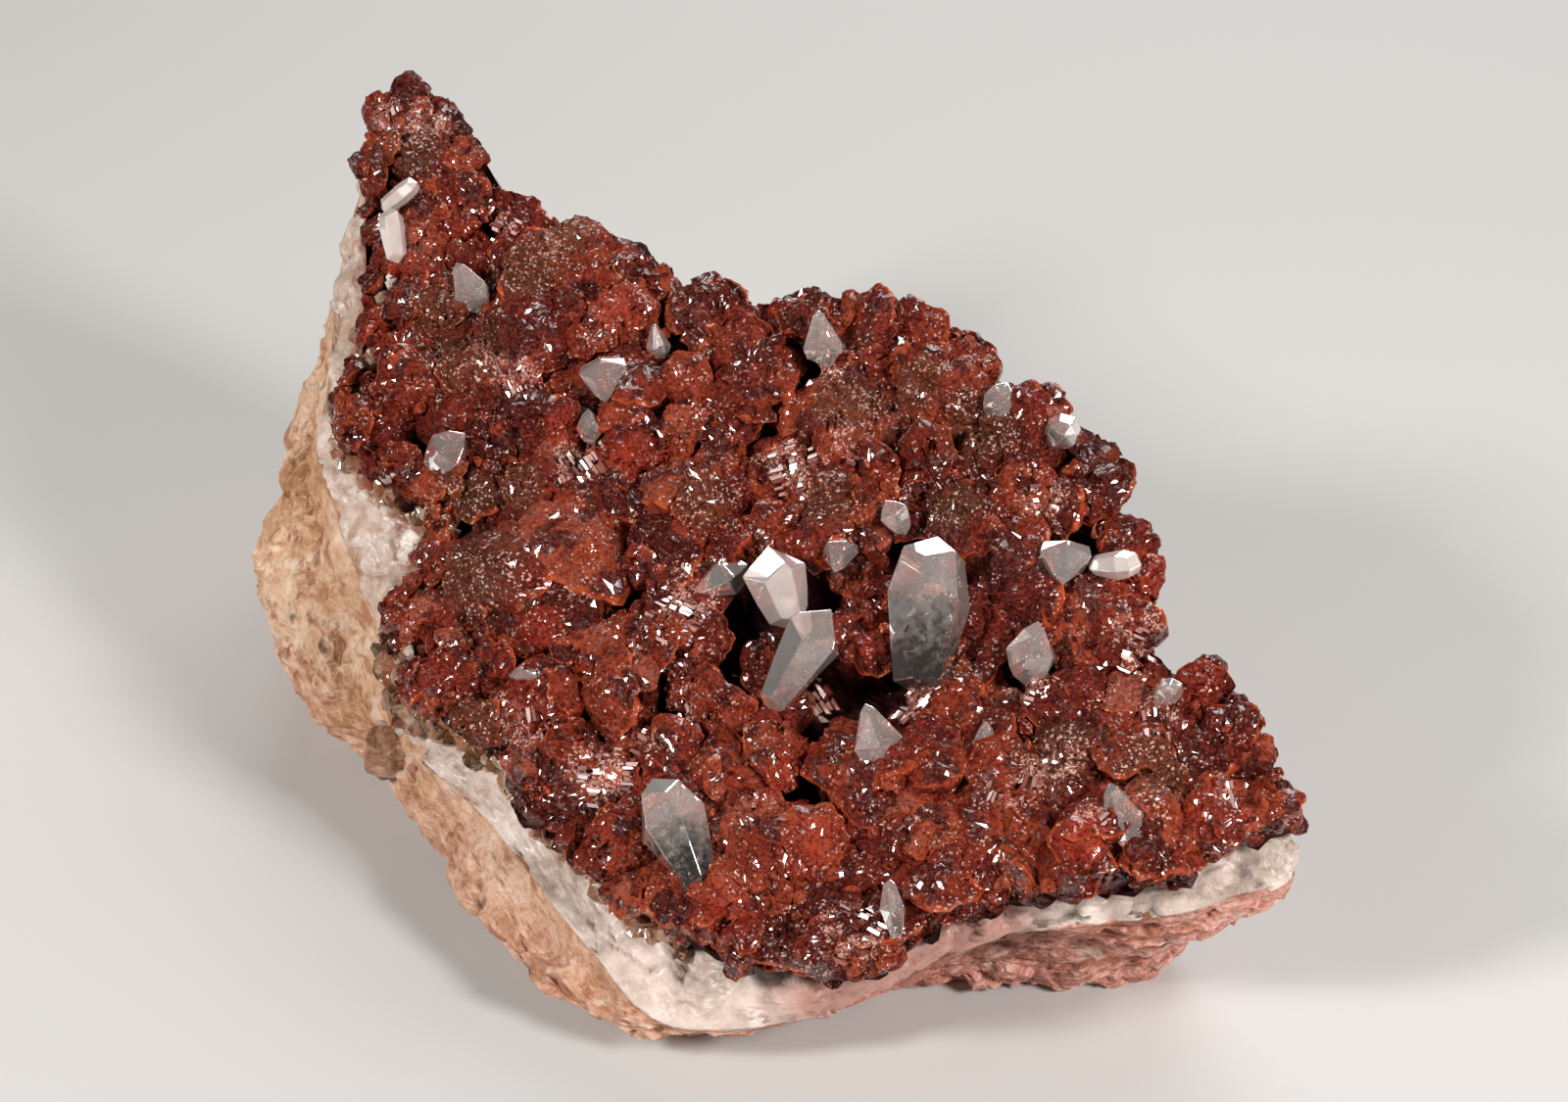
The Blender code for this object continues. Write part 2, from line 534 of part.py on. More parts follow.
def main():
    for thing in list(bpy.data.objects):
        bpy.data.objects.remove(thing)
    specimen = bpy.data.collections.new("roselite_on_calcite")
    cutters = bpy.data.collections.new("cutters")
    for collection in (specimen, cutters):
        bpy.context.scene.collection.children.link(collection)

    rock_look = material("matrix_rock", (0.58, 0.36, 0.24), 0.85)
    vein_look = material("calcite_vein", (0.76, 0.68, 0.63), 0.4)
    crust_look = material("roselite_crust", (0.26, 0.05, 0.035), 0.35)
    crystal_look = material("calcite_crystal", (0.9, 0.86, 0.85), 0.05, 0.9)

    rock_and_vein(specimen, cutters, rock_look, vein_look)
    crust = add_piece("roselite_crust", crust_form(Crust()), specimen, crust_look)
    grown = [hull(crystal_points(crystal, GAP)) for crystal in CRYSTALS]
    boolean(crust, add_cutter("crystal_pockets", grown, cutters), "DIFFERENCE")
    keep_largest_body(crust)
    for crystal in CRYSTALS:
        add_piece(crystal[0], hull(crystal_points(crystal)), specimen, crystal_look)


main()
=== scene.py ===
from math import cos, pi, radians, sin

import bpy
import numpy as np
from mathutils import Matrix, Vector


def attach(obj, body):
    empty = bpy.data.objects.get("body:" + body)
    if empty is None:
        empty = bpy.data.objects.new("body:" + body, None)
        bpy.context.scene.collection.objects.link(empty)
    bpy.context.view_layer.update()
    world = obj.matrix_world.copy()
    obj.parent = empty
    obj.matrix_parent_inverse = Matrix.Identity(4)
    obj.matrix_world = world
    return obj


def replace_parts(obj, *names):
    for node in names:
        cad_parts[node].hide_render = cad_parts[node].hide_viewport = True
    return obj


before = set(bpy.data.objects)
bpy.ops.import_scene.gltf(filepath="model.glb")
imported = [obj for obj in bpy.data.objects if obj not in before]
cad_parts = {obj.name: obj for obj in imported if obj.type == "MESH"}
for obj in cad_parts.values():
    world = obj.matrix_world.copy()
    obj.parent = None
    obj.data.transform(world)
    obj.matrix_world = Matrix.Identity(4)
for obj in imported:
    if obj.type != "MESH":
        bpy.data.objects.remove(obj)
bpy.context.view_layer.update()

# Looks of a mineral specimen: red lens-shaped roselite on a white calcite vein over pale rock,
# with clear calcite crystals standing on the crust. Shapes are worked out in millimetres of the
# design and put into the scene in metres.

MM = 0.001

# Middle of the footprint in the design, which the frame puts at its origin
FOOTPRINT_MIDDLE = np.array([-2.28, -24.06, 0])

# Slab: the leaning plane of the crust. u runs right along it, v up it, w out of it.
SLAB_MIDDLE = np.array([0.0, -29.0, 21.5])
SLAB_FACING = np.array([-0.23, -0.526, 1.0])
CRUST_FLOOR = -2.0

# Sight line of the photograph, which has 1600 x 1125 pixels
PICTURE_SIZE = (1600, 1125)
SIGHT_DISTANCE = 292.0
SIGHT_ELEVATION = radians(36)
SENSOR_WIDTH = 36.0
LENS = 92.6
LENS_OVER_SENSOR = LENS / SENSOR_WIDTH

# Outline of the crust on the slab (u, v), from the upper left tip down its left side
CRUST_OUTLINE = [
    (-29.2, 36.3), (-29.3, 30), (-29.2, 24), (-28.8, 19), (-30.5, 12), (-27, 7.8), (-24, 5),
    (-23.6, 1.5), (-26, -1.5), (-25.6, -7.2), (-21, -10.4), (-17, -15), (-13.5, -19),
    (-9.4, -23.6), (-3.6, -27.4), (4.2, -29.2), (8, -27.5), (11.2, -25.4), (16, -24.8),
    (22.6, -24.8), (26.3, -22.8), (31.2, -21.6), (29.6, -16.5), (27.4, -12), (23.6, -11),
    (22.8, -7.5), (23.4, -3.4), (21.2, -0.2), (21.2, 3.4), (17.8, 8.3), (13.8, 10.6), (11.6, 13.4),
    (6.4, 16.6), (2.4, 18), (-1.4, 17.8), (-6.6, 19.8), (-10.6, 23.2), (-15.4, 24.8),
    (-20.2, 28.4), (-22.6, 33), (-23.4, 36), (-26.4, 37.4),
]
CRUST_HUB = np.array([-5.0, 3.0])

# Walls: 24 stations from the upper left tip down the left side and round. VEIN_TOP is on the slab
# (u, v); the others are places in space (x, y, z).
VEIN_TOP = [
    (-28.8, 35.6), (-29, 26), (-28.6, 18.6), (-30, 11.8), (-24.4, 4), (-25.4, -4), (-20.8, -10),
    (-15.4, -16.6), (-9.4, -23), (-3.8, -26.8), (4, -28.4), (11, -24.8), (19, -24), (26, -22),
    (30.6, -21), (28, -14), (22.6, -9), (21.4, 0), (16.8, 7.6), (8.6, 14.6), (-1.2, 17),
    (-9, 21.4), (-17, 25.2), (-23, 34.6),
]
VEIN_EDGE = [
    (-28.4, 5.5, 28.6), (-30.4, -3, 24.5), (-30.6, -9, 21.6), (-31, -14.6, 18.6),
    (-29, -20.6, 15.6), (-26.6, -25.6, 12.6), (-25, -32.6, 9.2), (-18.6, -40.2, 8),
    (-12.2, -49.4, 5.8), (-6.8, -54.6, 3.8), (3.6, -53.6, 4.4), (11.6, -51.4, 8), (19, -51.8, 9.6),
    (25.8, -52.2, 11.4), (30.8, -51, 13.2), (28, -44, 14.8), (22.8, -39, 15.6),
    (21.6, -30.6, 19.4), (17, -22.6, 23), (8.8, -15.8, 25), (-1.4, -11.6, 25), (-9, -8.2, 25.4),
    (-17, -3.6, 26.2), (-22.2, 4.4, 28.8),
]
ROCK_BELLY = [
    (-28.6, 7, 16), (-31.4, 2, 16), (-33, -5, 16), (-33.8, -11, 15), (-34.9, -17.6, 11),
    (-33, -23.2, 7.4), (-27.6, -29.4, 5), (-22.4, -37, 4.2), (-16.6, -49, 3.6), (-8.6, -53, 2.2),
    (3, -51.4, 2.2), (11.6, -49.2, 5), (19, -50, 6.4), (25.6, -50.6, 8.6), (29.4, -49.6, 11),
    (27.4, -43, 11), (23.6, -37.4, 11), (21.6, -29.6, 12), (18, -21.4, 13), (9.6, -14, 14),
    (-1, -9.6, 14), (-9, -5.6, 14), (-16.6, -1, 15), (-22, 6, 15),
]
ROCK_FOOT = [
    (-26.4, 5, 1), (-29, 1, 1), (-31, -6, 1), (-31.6, -11, 1), (-32, -17, 1), (-30, -22, 1.4),
    (-24.6, -28, 1.4), (-18.6, -35, 1.4), (-12.6, -45, 1.8), (-7, -49.6, 1), (3, -48.6, 1),
    (10.6, -47.4, 2), (16.4, -46.8, 0.7), (22.2, -46.4, 0.7), (24.2, -43.8, 1.4),
    (23.2, -40.2, 1.4), (21, -36, 1.4), (19.6, -29, 1), (16.6, -21, 1), (9, -14, 1), (-1, -10, 1),
    (-9, -6, 1), (-16, -2, 1), (-21.4, 4, 1),
]

# Walls: depth of the seam under the crust's floor, spokes and rings, how far the hidden rings are
# drawn in, and thickness of the rock's beds
VEIN_DEPTH = 1.6
WALL_SPOKES = 420
VEIN_STEPS = 30
ROCK_STEPS = 130
TUCK = 1.4
FOOT_INSET = 1.2
BED_THICKNESS = 1.5

# Knobs on the rock: middle, half sizes, and how far the lower end is drawn to a point
ROCK_KNOBS = [
    ((16.4, -45.6, 1.7), (1.5, 1.7, 1.7), 0.5),
    ((22.4, -45.2, 2.0), (1.9, 2.0, 2.0), 0.4),
    ((-23.2, -34.2, 5.6), (1.5, 1.6, 2.4), 0.3),
    ((-25.2, -31.8, 7.2), (2.0, 1.8, 1.8), 0.9),
]

# Round spots on the crust (middle and radius in the photograph): bright red, partly painted glow, and
# dull and drusy, partly painted grey sheen
BRIGHT_SPOTS = [
    (640, 322, 30), (1166, 595, 34), (880, 650, 30), (1224, 702, 24), (400, 350, 20),
    (412, 272, 18), (1110, 866, 26), (832, 872, 30), (655, 470, 26), (800, 800, 24),
    (740, 940, 30), (1240, 830, 30), (470, 225, 22), (580, 440, 24), (560, 650, 24),
]
DRUSY_SPOTS = [
    (500, 590, 44), (480, 372, 38), (545, 282, 38), (577, 250, 28), (530, 500, 26), (430, 152, 28),
    (490, 740, 30), (720, 520, 26), (870, 420, 30), (1000, 440, 34), (975, 525, 26),
    (850, 520, 30), (1080, 780, 34), (480, 510, 26), (940, 405, 26), (1180, 790, 30),
    (450, 325, 26),
]

# Stretch of the crust's outline, in its points, along which stained grains lie
STAINED_SIDE = (2.6, 13.6)

# White chips on the crust's edges: middle, half length and half width in the photograph, and turn
CALCITE_CHIPS = [
    (552, 219, 15, 6, -38), (500, 193, 7, 4, -60), (574, 236, 10, 4, -12), (604, 238, 6, 3, 0),
    (1128, 862, 16, 6, 30), (400, 286, 10, 8, 80), (408, 312, 10, 9, 60), (402, 482, 14, 8, 30),
    (417, 558, 15, 17, 80), (546, 690, 9, 6, 10), (858, 748, 9, 6, 30), (660, 545, 7, 5, 60),
]

# Lens-shaped aggregates of the crust: middle and radius in the photograph
AGGREGATES = [
    (405, 120, 28), (450, 130, 24), (473, 152, 20), (425, 160, 32), (388, 155, 20), (455, 185, 28),
    (486, 205, 22), (430, 215, 28), (465, 225, 20), (525, 222, 24), (440, 250, 28), (482, 258, 20),
    (520, 258, 22), (412, 270, 17), (545, 278, 38), (577, 250, 32), (590, 288, 34), (630, 266, 33),
    (655, 290, 22), (640, 322, 28), (430, 300, 28), (455, 326, 32), (500, 322, 22), (560, 326, 45),
    (600, 338, 25), (430, 342, 22), (400, 350, 20), (455, 366, 30), (490, 380, 28), (526, 390, 25),
    (550, 364, 20), (420, 398, 32), (452, 420, 30), (580, 400, 28), (540, 430, 30), (490, 425, 28),
    (655, 385, 40), (700, 400, 30), (685, 430, 28), (735, 322, 32), (702, 318, 22), (563, 442, 28),
    (500, 455, 25), (650, 452, 26), (620, 480, 24), (555, 480, 28), (390, 432, 24), (362, 432, 20),
    (410, 470, 22), (452, 484, 24), (775, 332, 28), (830, 320, 28), (890, 335, 35), (940, 352, 30),
    (985, 372, 26), (875, 372, 30), (765, 370, 35), (728, 352, 22), (915, 376, 24), (962, 402, 38),
    (740, 420, 35), (782, 400, 28), (855, 430, 42), (902, 405, 24), (930, 440, 32), (945, 474, 30),
    (890, 490, 28), (820, 480, 30), (775, 480, 30), (850, 506, 30), (725, 470, 26), (740, 512, 24),
    (1040, 440, 40), (1066, 415, 20), (1000, 472, 30), (1106, 496, 36), (1045, 500, 26),
    (980, 525, 36), (1006, 562, 24), (1062, 522, 26), (872, 532, 26), (920, 520, 26),
    (840, 546, 30), (790, 546, 26), (1150, 555, 24), (1160, 595, 22), (1120, 612, 28),
    (1032, 606, 50), (1098, 628, 30), (876, 580, 26), (900, 612, 26), (510, 592, 48),
    (452, 566, 26), (590, 562, 50), (640, 502, 30), (700, 500, 36), (682, 560, 36), (742, 562, 28),
    (560, 622, 40), (612, 652, 40), (424, 630, 28), (462, 642, 26), (520, 642, 32), (482, 502, 28),
    (532, 502, 28), (690, 612, 36), (662, 662, 26), (710, 652, 28), (620, 702, 38), (582, 690, 22),
    (540, 722, 34), (462, 692, 26), (502, 682, 26), (430, 694, 22), (702, 690, 22), (735, 722, 28),
    (782, 672, 24), (650, 746, 24), (560, 762, 30), (690, 770, 28), (662, 790, 26), (742, 792, 36),
    (792, 770, 26), (792, 722, 28), (600, 806, 32), (630, 780, 28), (582, 774, 24), (700, 822, 30),
    (762, 842, 34), (642, 862, 28), (596, 852, 22), (490, 738, 22), (546, 806, 24), (802, 842, 28),
    (880, 652, 30), (975, 634, 32), (970, 692, 32), (1002, 652, 28), (990, 722, 34),
    (1100, 662, 28), (1145, 652, 32), (1090, 716, 30), (1002, 762, 34), (930, 762, 36),
    (876, 782, 36), (1090, 762, 36), (1150, 762, 34), (1190, 742, 30), (1224, 772, 34),
    (1224, 706, 24), (1254, 752, 26), (1040, 792, 36), (1086, 802, 26), (1026, 852, 50),
    (950, 802, 26), (890, 822, 28), (920, 852, 36), (962, 852, 30), (902, 892, 36), (962, 896, 34),
    (996, 906, 24), (1130, 832, 36), (1120, 868, 34), (1190, 832, 30), (1184, 872, 28),
    (1250, 822, 28), (1232, 846, 24), (1296, 820, 22), (1092, 886, 26), (832, 872, 36),
    (866, 930, 34), (828, 926, 36), (772, 902, 36), (722, 896, 28), (700, 926, 28), (664, 902, 30),
    (756, 946, 26), (800, 958, 26), (850, 966, 28), (908, 944, 24), (618, 870, 22),
    (1150, 700, 28),
]

# Deep gaps between the aggregates: middle, half length and half width in the photograph, and turn
PITS = [
    (682, 322, 30, 9, 55), (506, 296, 22, 6, -10), (640, 292, 20, 6, -20), (432, 456, 22, 10, -50),
    (975, 470, 34, 10, 60), (948, 532, 28, 8, 85), (905, 448, 16, 8, 50), (820, 402, 14, 9, 20),
    (845, 606, 26, 14, -10), (757, 660, 24, 18, 70), (855, 732, 36, 9, 50), (490, 717, 14, 8, 20),
    (1064, 880, 34, 10, 65), (1062, 704, 14, 9, -30), (966, 776, 22, 7, -70), (838, 822, 18, 7, 0),
    (552, 612, 26, 6, 80), (640, 580, 24, 7, 75), (744, 752, 24, 6, 0), (932, 402, 15, 7, -75),
    (1128, 548, 20, 8, 40), (842, 962, 22, 6, 50), (690, 748, 16, 6, 0), (1236, 826, 22, 7, -35),
    (1132, 690, 12, 8, 40), (890, 840, 16, 6, -40),
]

# Fans of bright parallel plates: middle, half length and half width in the photograph, and turn
PLATE_FANS = [
    (812, 482, 34, 16, 100), (594, 474, 24, 17, 30), (690, 626, 30, 20, 60),
    (614, 790, 26, 20, 80), (1034, 808, 24, 12, -25), (870, 952, 26, 18, 60),
    (838, 384, 20, 10, 70), (1068, 514, 22, 9, 85), (514, 234, 16, 8, 60), (530, 388, 22, 14, 20),
    (490, 376, 16, 14, 30), (1085, 790, 26, 14, 70), (925, 720, 20, 12, -50),
    (1044, 706, 16, 9, 70), (1120, 855, 20, 12, -55), (1160, 660, 24, 18, 60),
    (700, 722, 20, 7, 10), (560, 262, 16, 18, 0), (540, 744, 22, 12, 0), (830, 700, 14, 8, 30),
    (865, 462, 14, 8, 60), (1180, 742, 20, 12, 0), (1252, 812, 10, 8, 0), (928, 592, 12, 8, 40),
    (400, 122, 18, 8, 10), (440, 130, 22, 6, -10), (660, 760, 14, 10, 60), (1024, 408, 14, 10, 60),
]

# Spokes of a lens, and shares of its radius at which its upper rings stand. Main lenses are the
# largest, leaves lean on them, and petals are the small ones on and between them.
LENS_SPOKES = 44
LEAF_SPOKES = 30
PETAL_SPOKES = 15
RIM_SPOKES = 20
GRAIN_SPOKES = 7
CHIP_SPOKES = 8
FLAKE_SPOKES = 5
LENS_TOPS = np.array([0.15, 0.30, 0.44, 0.57, 0.69, 0.80, 0.89, 0.96, 1.0])
LEAF_TOPS = np.array([0.3, 0.55, 0.76, 0.92, 1.0])
PETAL_TOPS = np.array([0.4, 0.72, 0.93, 1.0])
CHIP_TOPS = PETAL_TOPS[:3]
FLAKE_TOPS = PETAL_TOPS[3:] * 0.9
UNDER_SHARES = np.array([0.86, 0.5])
UNDERSIDE_DEPTH = 0.8

# Lobes of a lens's rim and how far each goes in and out, as a share of the radius
RIM_WAVES = ((2, 0.12), (3, 0.08), (5, 0.05), (9, 0.035))
RIM_TEETH = 0.04

# Relief of the lenses: spacing of growth steps and lines, size of small and large planes
STEP_SPACING = 0.62
GROWTH_SPACING = 0.38
SMALL_PLANES = 0.55
LARGE_PLANES = 1.5

# Heights over the slab: between the lenses, in the pits, of the highest small lens and bed, of
# the chips, and where painted shade starts to darken the crust and over what depth
GROUND_LEVEL = -0.9
PIT_LEVEL = -1.6
HIGHEST_LENS = 2.1
HIGHEST_BED = 1.4
CHIP_LEVEL = 0.6
SHADE_BELOW = 1.0
SHADE_DEPTH = 1.6

# Main lenses are wider than in the photograph by this much, so that they run into each other
LENS_OVERLAP = 1.16

# Counts: spokes and rings of the bed, lenses along the rim, coarse and fine steps of the
# outline, and stained grains
BED_SPOKES = 300
BED_RINGS = 84
RIM_LENSES = 230
EDGE_STEPS = 252
FINE_EDGE_STEPS = 2100
STAINED_GRAINS = 620

# Bars of the fans: middle to middle along and across, half length, half width and thickness
BAR_SPACING = (0.27, 0.66)
BAR_HALF_LENGTH = (0.20, 0.46)
BAR_HALF_WIDTH = (0.08, 0.13)
BAR_THICKNESS = 0.4

# Calcite crystals: middle in the photograph, length and width there, turn of the long axis on the
# slab, lean out of it and height of the middle over it, then smokiness, milkiness, place of the
# widest ring, widths of the tip's and the root's roofs, their steepness, and roll about the axis
CRYSTAL_ROWS = [
    (948, 628, 138, 74, 78, 24, 3.4, 0.9, 0.11, 0.10, 0.74, 0.66, 0.55, 20),
    (691, 852, 108, 62, 112, 16, 2.8, 0.9, 0.14, 0.10, 0.64, 0.50, 0.75, 50),
    (797, 600, 82, 54, 102, 48, 2.6, 0.0, 0.55, 0.22, 0.74, 0.66, 0.95, 5),
    (816, 674, 108, 56, 46, 28, 2.6, 0.2, 0.14, 0.24, 0.86, 0.50, 0.95, 35),
    (735, 592, 62, 42, 14, 22, 1.8, 0.1, 0.14, 0.20, 0.74, 0.34, 0.95, 10),
    (1055, 668, 60, 46, 74, 34, 2.4, 0.0, 0.15, 0.02, 0.46, 0.62, 1.0, 25),
    (1086, 575, 54, 50, 268, 20, 2.4, 0.2, 0.14, -0.05, 0.36, 0.80, 1.0, 15),
    (1138, 577, 54, 28, -16, 22, 2.4, 0.0, 0.78, 0.1, 0.80, 0.66, 0.8, 20),
    (894, 756, 68, 48, 102, 34, 2.4, 0.1, 0.11, -0.05, 0.28, 0.60, 1.0, 40),
    (1008, 758, 38, 26, 88, 30, 2.0, 0.1, 0.11, 0.0, 0.34, 0.60, 1.0, 10),
    (618, 390, 60, 48, 276, 24, 2.4, 0.1, 0.10, -0.12, 0.34, 0.86, 1.0, 30),
    (603, 436, 36, 28, 94, 24, 2.0, 0.4, 0.09, 0.0, 0.45, 0.55, 1.0, 0),
    (840, 346, 54, 42, 96, 30, 2.6, 0.1, 0.13, -0.15, 0.26, 0.75, 1.0, 20),
    (672, 350, 38, 24, 98, 34, 1.6, 0.3, 0.10, -0.10, 0.22, 0.60, 1.0, 0),
    (456, 464, 54, 46, 36, 24, 1.9, 0.5, 0.07, 0.05, 0.60, 0.55, 0.8, 35),
    (481, 294, 56, 36, 118, 26, 2.2, 0.2, 0.13, -0.10, 0.34, 0.55, 1.0, 15),
    (402, 240, 54, 26, 96, 20, 1.9, 0.0, 0.70, 0.12, 0.92, 0.80, 0.7, 12),
    (408, 200, 46, 22, 20, 24, 2.0, 0.0, 0.70, 0.1, 0.90, 0.84, 0.6, 22),
    (1084, 442, 38, 36, 40, 24, 2.4, 0.8, 0.16, 0.0, 0.70, 0.70, 0.7, 0),
    (1020, 410, 38, 32, 60, 24, 2.2, 0.4, 0.14, 0.0, 0.66, 0.66, 0.8, 30),
    (1150, 836, 68, 38, 112, 18, 2.4, 0.1, 0.13, 0.0, 0.42, 0.55, 1.0, 0),
    (1192, 708, 32, 28, 20, 26, 2.2, 0.1, 0.16, 0.0, 0.66, 0.66, 0.8, 10),
    (912, 928, 52, 24, 94, 22, 2.4, 0.3, 0.09, 0.0, 0.50, 0.50, 1.0, 20),
    (856, 567, 46, 34, 266, 24, 2.2, 0.1, 0.11, -0.1, 0.40, 0.75, 1.0, 0),
    (914, 528, 36, 30, 120, 30, 2.2, 0.1, 0.12, 0.1, 0.50, 0.55, 0.9, 25),
    (534, 690, 34, 24, -20, 22, 1.9, 0.0, 0.16, 0.0, 0.34, 0.55, 1.0, 0),
]
CRYSTALS = [(f"calcite_crystal_{number:02d}", *row) for number, row in enumerate(CRYSTAL_ROWS, 1)]
VEILED = ("calcite_crystal_01", "calcite_crystal_02")

# Crystals: height of the lowest corners over the slab, thickness as a share of the width, width
# of the worn edges, and flakes for each point of length in the photograph
CRYSTAL_FOOT = -1.1
FLATNESS = 0.84
WORN_EDGE = 0.06
FLAKES_PER_PIXEL = 3.4

# Seeds of the random draws; the noise takes its own seed at each call
SEEDS = {"crust": 11, "facing": 20, "lenses": 21, "rim": 23, "plates": 24, "stained": 26,
         "chips": 27, "flakes": 41}

# Lamps: place in millimetres of the design, width, power and colour. All face LIGHT_TARGET, and
# the world around them is dim. The floor's width is in metres.
KEY_PLACE = np.array([-262.0, -178.0, 236.0])
LAMPS = [
    ("key", KEY_PLACE, 75, 1.05, (1.0, 0.97, 0.93)),
    ("right", (215, -205, 190), 80, 0.95, (1.0, 0.97, 0.94)),
    ("behind", (60, 240, 230), 260, 0.60, (1.0, 1.0, 1.0)),
]
LIGHT_TARGET = np.array([0, -25, 15])
WORLD_COLOUR = (1.0, 0.98, 0.95, 1)
WORLD_STRENGTH = 0.06
FLOOR_SIZE = 6


# Vectors and places

def unit(vectors):
    """The vectors at length one."""
    vectors = np.asarray(vectors, float)
    return vectors / np.linalg.norm(vectors, axis=-1, keepdims=True)


SLAB_OUT = unit(SLAB_FACING)
SLAB_RIGHT = unit(np.array([1.0, 0, 0]) - SLAB_OUT[0] * SLAB_OUT)
SLAB_UP = np.cross(SLAB_OUT, SLAB_RIGHT)
SLAB_AXES = np.array([SLAB_RIGHT, SLAB_UP, SLAB_OUT])
SIGHT_FORWARD = np.array([0, cos(SIGHT_ELEVATION), -sin(SIGHT_ELEVATION)])
SIGHT_UP = np.array([0, sin(SIGHT_ELEVATION), cos(SIGHT_ELEVATION)])
EYE = -SIGHT_DISTANCE * SIGHT_FORWARD
PICTURE_SCALE = PICTURE_SIZE[0] * LENS_OVER_SENSOR / SIGHT_DISTANCE


def on_slab(x, y, w=0.0):
    """(u, v) of the places at height w over the slab that are seen at points of the photograph.

    The sight line through the point is followed until its height over the slab is w.
    """
    x, y, w = np.broadcast_arrays(np.asarray(x, float), y, w)
    across = (x - PICTURE_SIZE[0] / 2) / PICTURE_SIZE[0] / LENS_OVER_SENSOR
    upward = (PICTURE_SIZE[1] / 2 - y) / PICTURE_SIZE[0] / LENS_OVER_SENSOR
    sight = SIGHT_FORWARD + across[..., None] * np.array([1.0, 0, 0]) + upward[..., None] * SIGHT_UP
    reach = (w - (EYE - SLAB_MIDDLE) @ SLAB_OUT) / (sight @ SLAB_OUT)
    place = EYE + reach[..., None] * sight - SLAB_MIDDLE
    return np.stack([place @ SLAB_RIGHT, place @ SLAB_UP], axis=-1)


def heading(angle):
    """Unit vectors (u, v) on the slab at each angle from its right side."""
    return np.column_stack([np.cos(angle), np.sin(angle)])


def in_space(points):
    """Places in space of slab points (u, v, w)."""
    return SLAB_MIDDLE + np.asarray(points, float) @ SLAB_AXES


def raised(spots, levels):
    """Places in space of slab points (u, v) at their heights over the slab."""
    return in_space(np.column_stack([spots, levels]))


def spot_share(places, spots):
    """Nearness of places to round spots named in the photograph: 1 in the middle, 0 outside.

    Both are laid on the slab, and each spot fades out between 0.7 and 1.25 of its radius.
    """
    table = np.array(spots, float)
    middle = on_slab(table[:, 0], table[:, 1], 1.0)
    flat = (np.asarray(places) - SLAB_MIDDLE) @ SLAB_AXES[:2].T
    share = np.zeros(len(flat))
    for spot, radius in zip(middle, table[:, 2] / PICTURE_SCALE):
        away = np.linalg.norm(flat - spot, axis=1) / radius
        share = np.maximum(share, np.clip((1.25 - away) / 0.55, 0, 1))
    return share


def curve_at(t, a, b, c, d):
    """Places at share t of the way from b to c on the cubic curve through a, b, c and d.

    The curve leaves b along half of c - a and reaches c along half of d - b.
    """
    return b + 0.5 * t * (c - a + t * (2 * a - 5 * b + 4 * c - d + t * (3 * (b - c) + d - a)))


def smooth_loop(points, count):
    """A smooth closed curve through the points, read at count equal steps of its knots."""
    knots = np.asarray(points, float)
    step = np.arange(count) * len(knots) / count
    index = step.astype(int)
    around = (knots[(index + k) % len(knots)] for k in (-1, 0, 1, 2))
    return curve_at((step - index)[:, None], *around)


def across_run(ring, step):
    """Level unit vectors (u, v) across the run of a ring, away from what it goes round.

    The run at a place goes from the place step before it to the place step after it, and the ring
    goes round against the clock.
    """
    run = np.roll(ring, -step, axis=0) - np.roll(ring, step, axis=0)
    return unit(np.column_stack([run[:, 1], -run[:, 0]]))


def side_vectors(normals, turn):
    """Two unit vectors across each normal, turned about it by the given angles."""
    helper = np.where(np.abs(normals[..., :1]) > 0.8, [[0.0, 1.0, 0.0]], [[1.0, 0.0, 0.0]])
    first = unit(np.cross(normals, helper))
    second = np.cross(normals, first)
    c, s = np.cos(turn)[..., None], np.sin(turn)[..., None]
    return first * c + second * s, second * c - first * s


# Random draws and noise in space

def scatter(cells, seed):
    """A number from 0 to 1 for each whole-number cell (..., 3), by multiplying and mixing bits."""
    cells = cells.astype(np.int64)
    mixed = cells[..., 0] * 73856093 ^ cells[..., 1] * 19349663 ^ cells[..., 2] * 83492791
    mixed = (mixed ^ seed * 2654435761) & 0xFFFFFFFF
    for shift, factor in ((16, 0x45D9F3B), (15, 0x2C1B3C6D), (16, 0x297A2D39)):
        mixed = ((mixed ^ (mixed >> shift)) * factor) & 0xFFFFFFFF
    return ((mixed ^ (mixed >> 16)) & 0xFFFFFF) / 0xFFFFFF


def draws(name):
    """Random draws for one part of the work, the same on every run."""
    return np.random.default_rng(SEEDS[name])


def drift(points, size, seed):
    """Smooth noise from -1 to 1: scattered values at the corners of a grid, blended between."""
    places = np.asarray(points) / size
    cell = np.floor(places)
    t = places - cell
    t = t * t * (3 - 2 * t)
    total = np.zeros(places.shape[:-1])
    for corner in np.ndindex(2, 2, 2):
        weight = np.prod(np.where(np.array(corner) == 1, t, 1 - t), axis=-1)
        total += weight * scatter(cell + np.array(corner), seed)
    return 2 * total - 1


def rough(points, size, seed):
    """Drift of three sizes added up, each half as large and half as strong as the last."""
    return sum(drift(points, size / 2**k, seed + k) / 2**k for k in range(3))


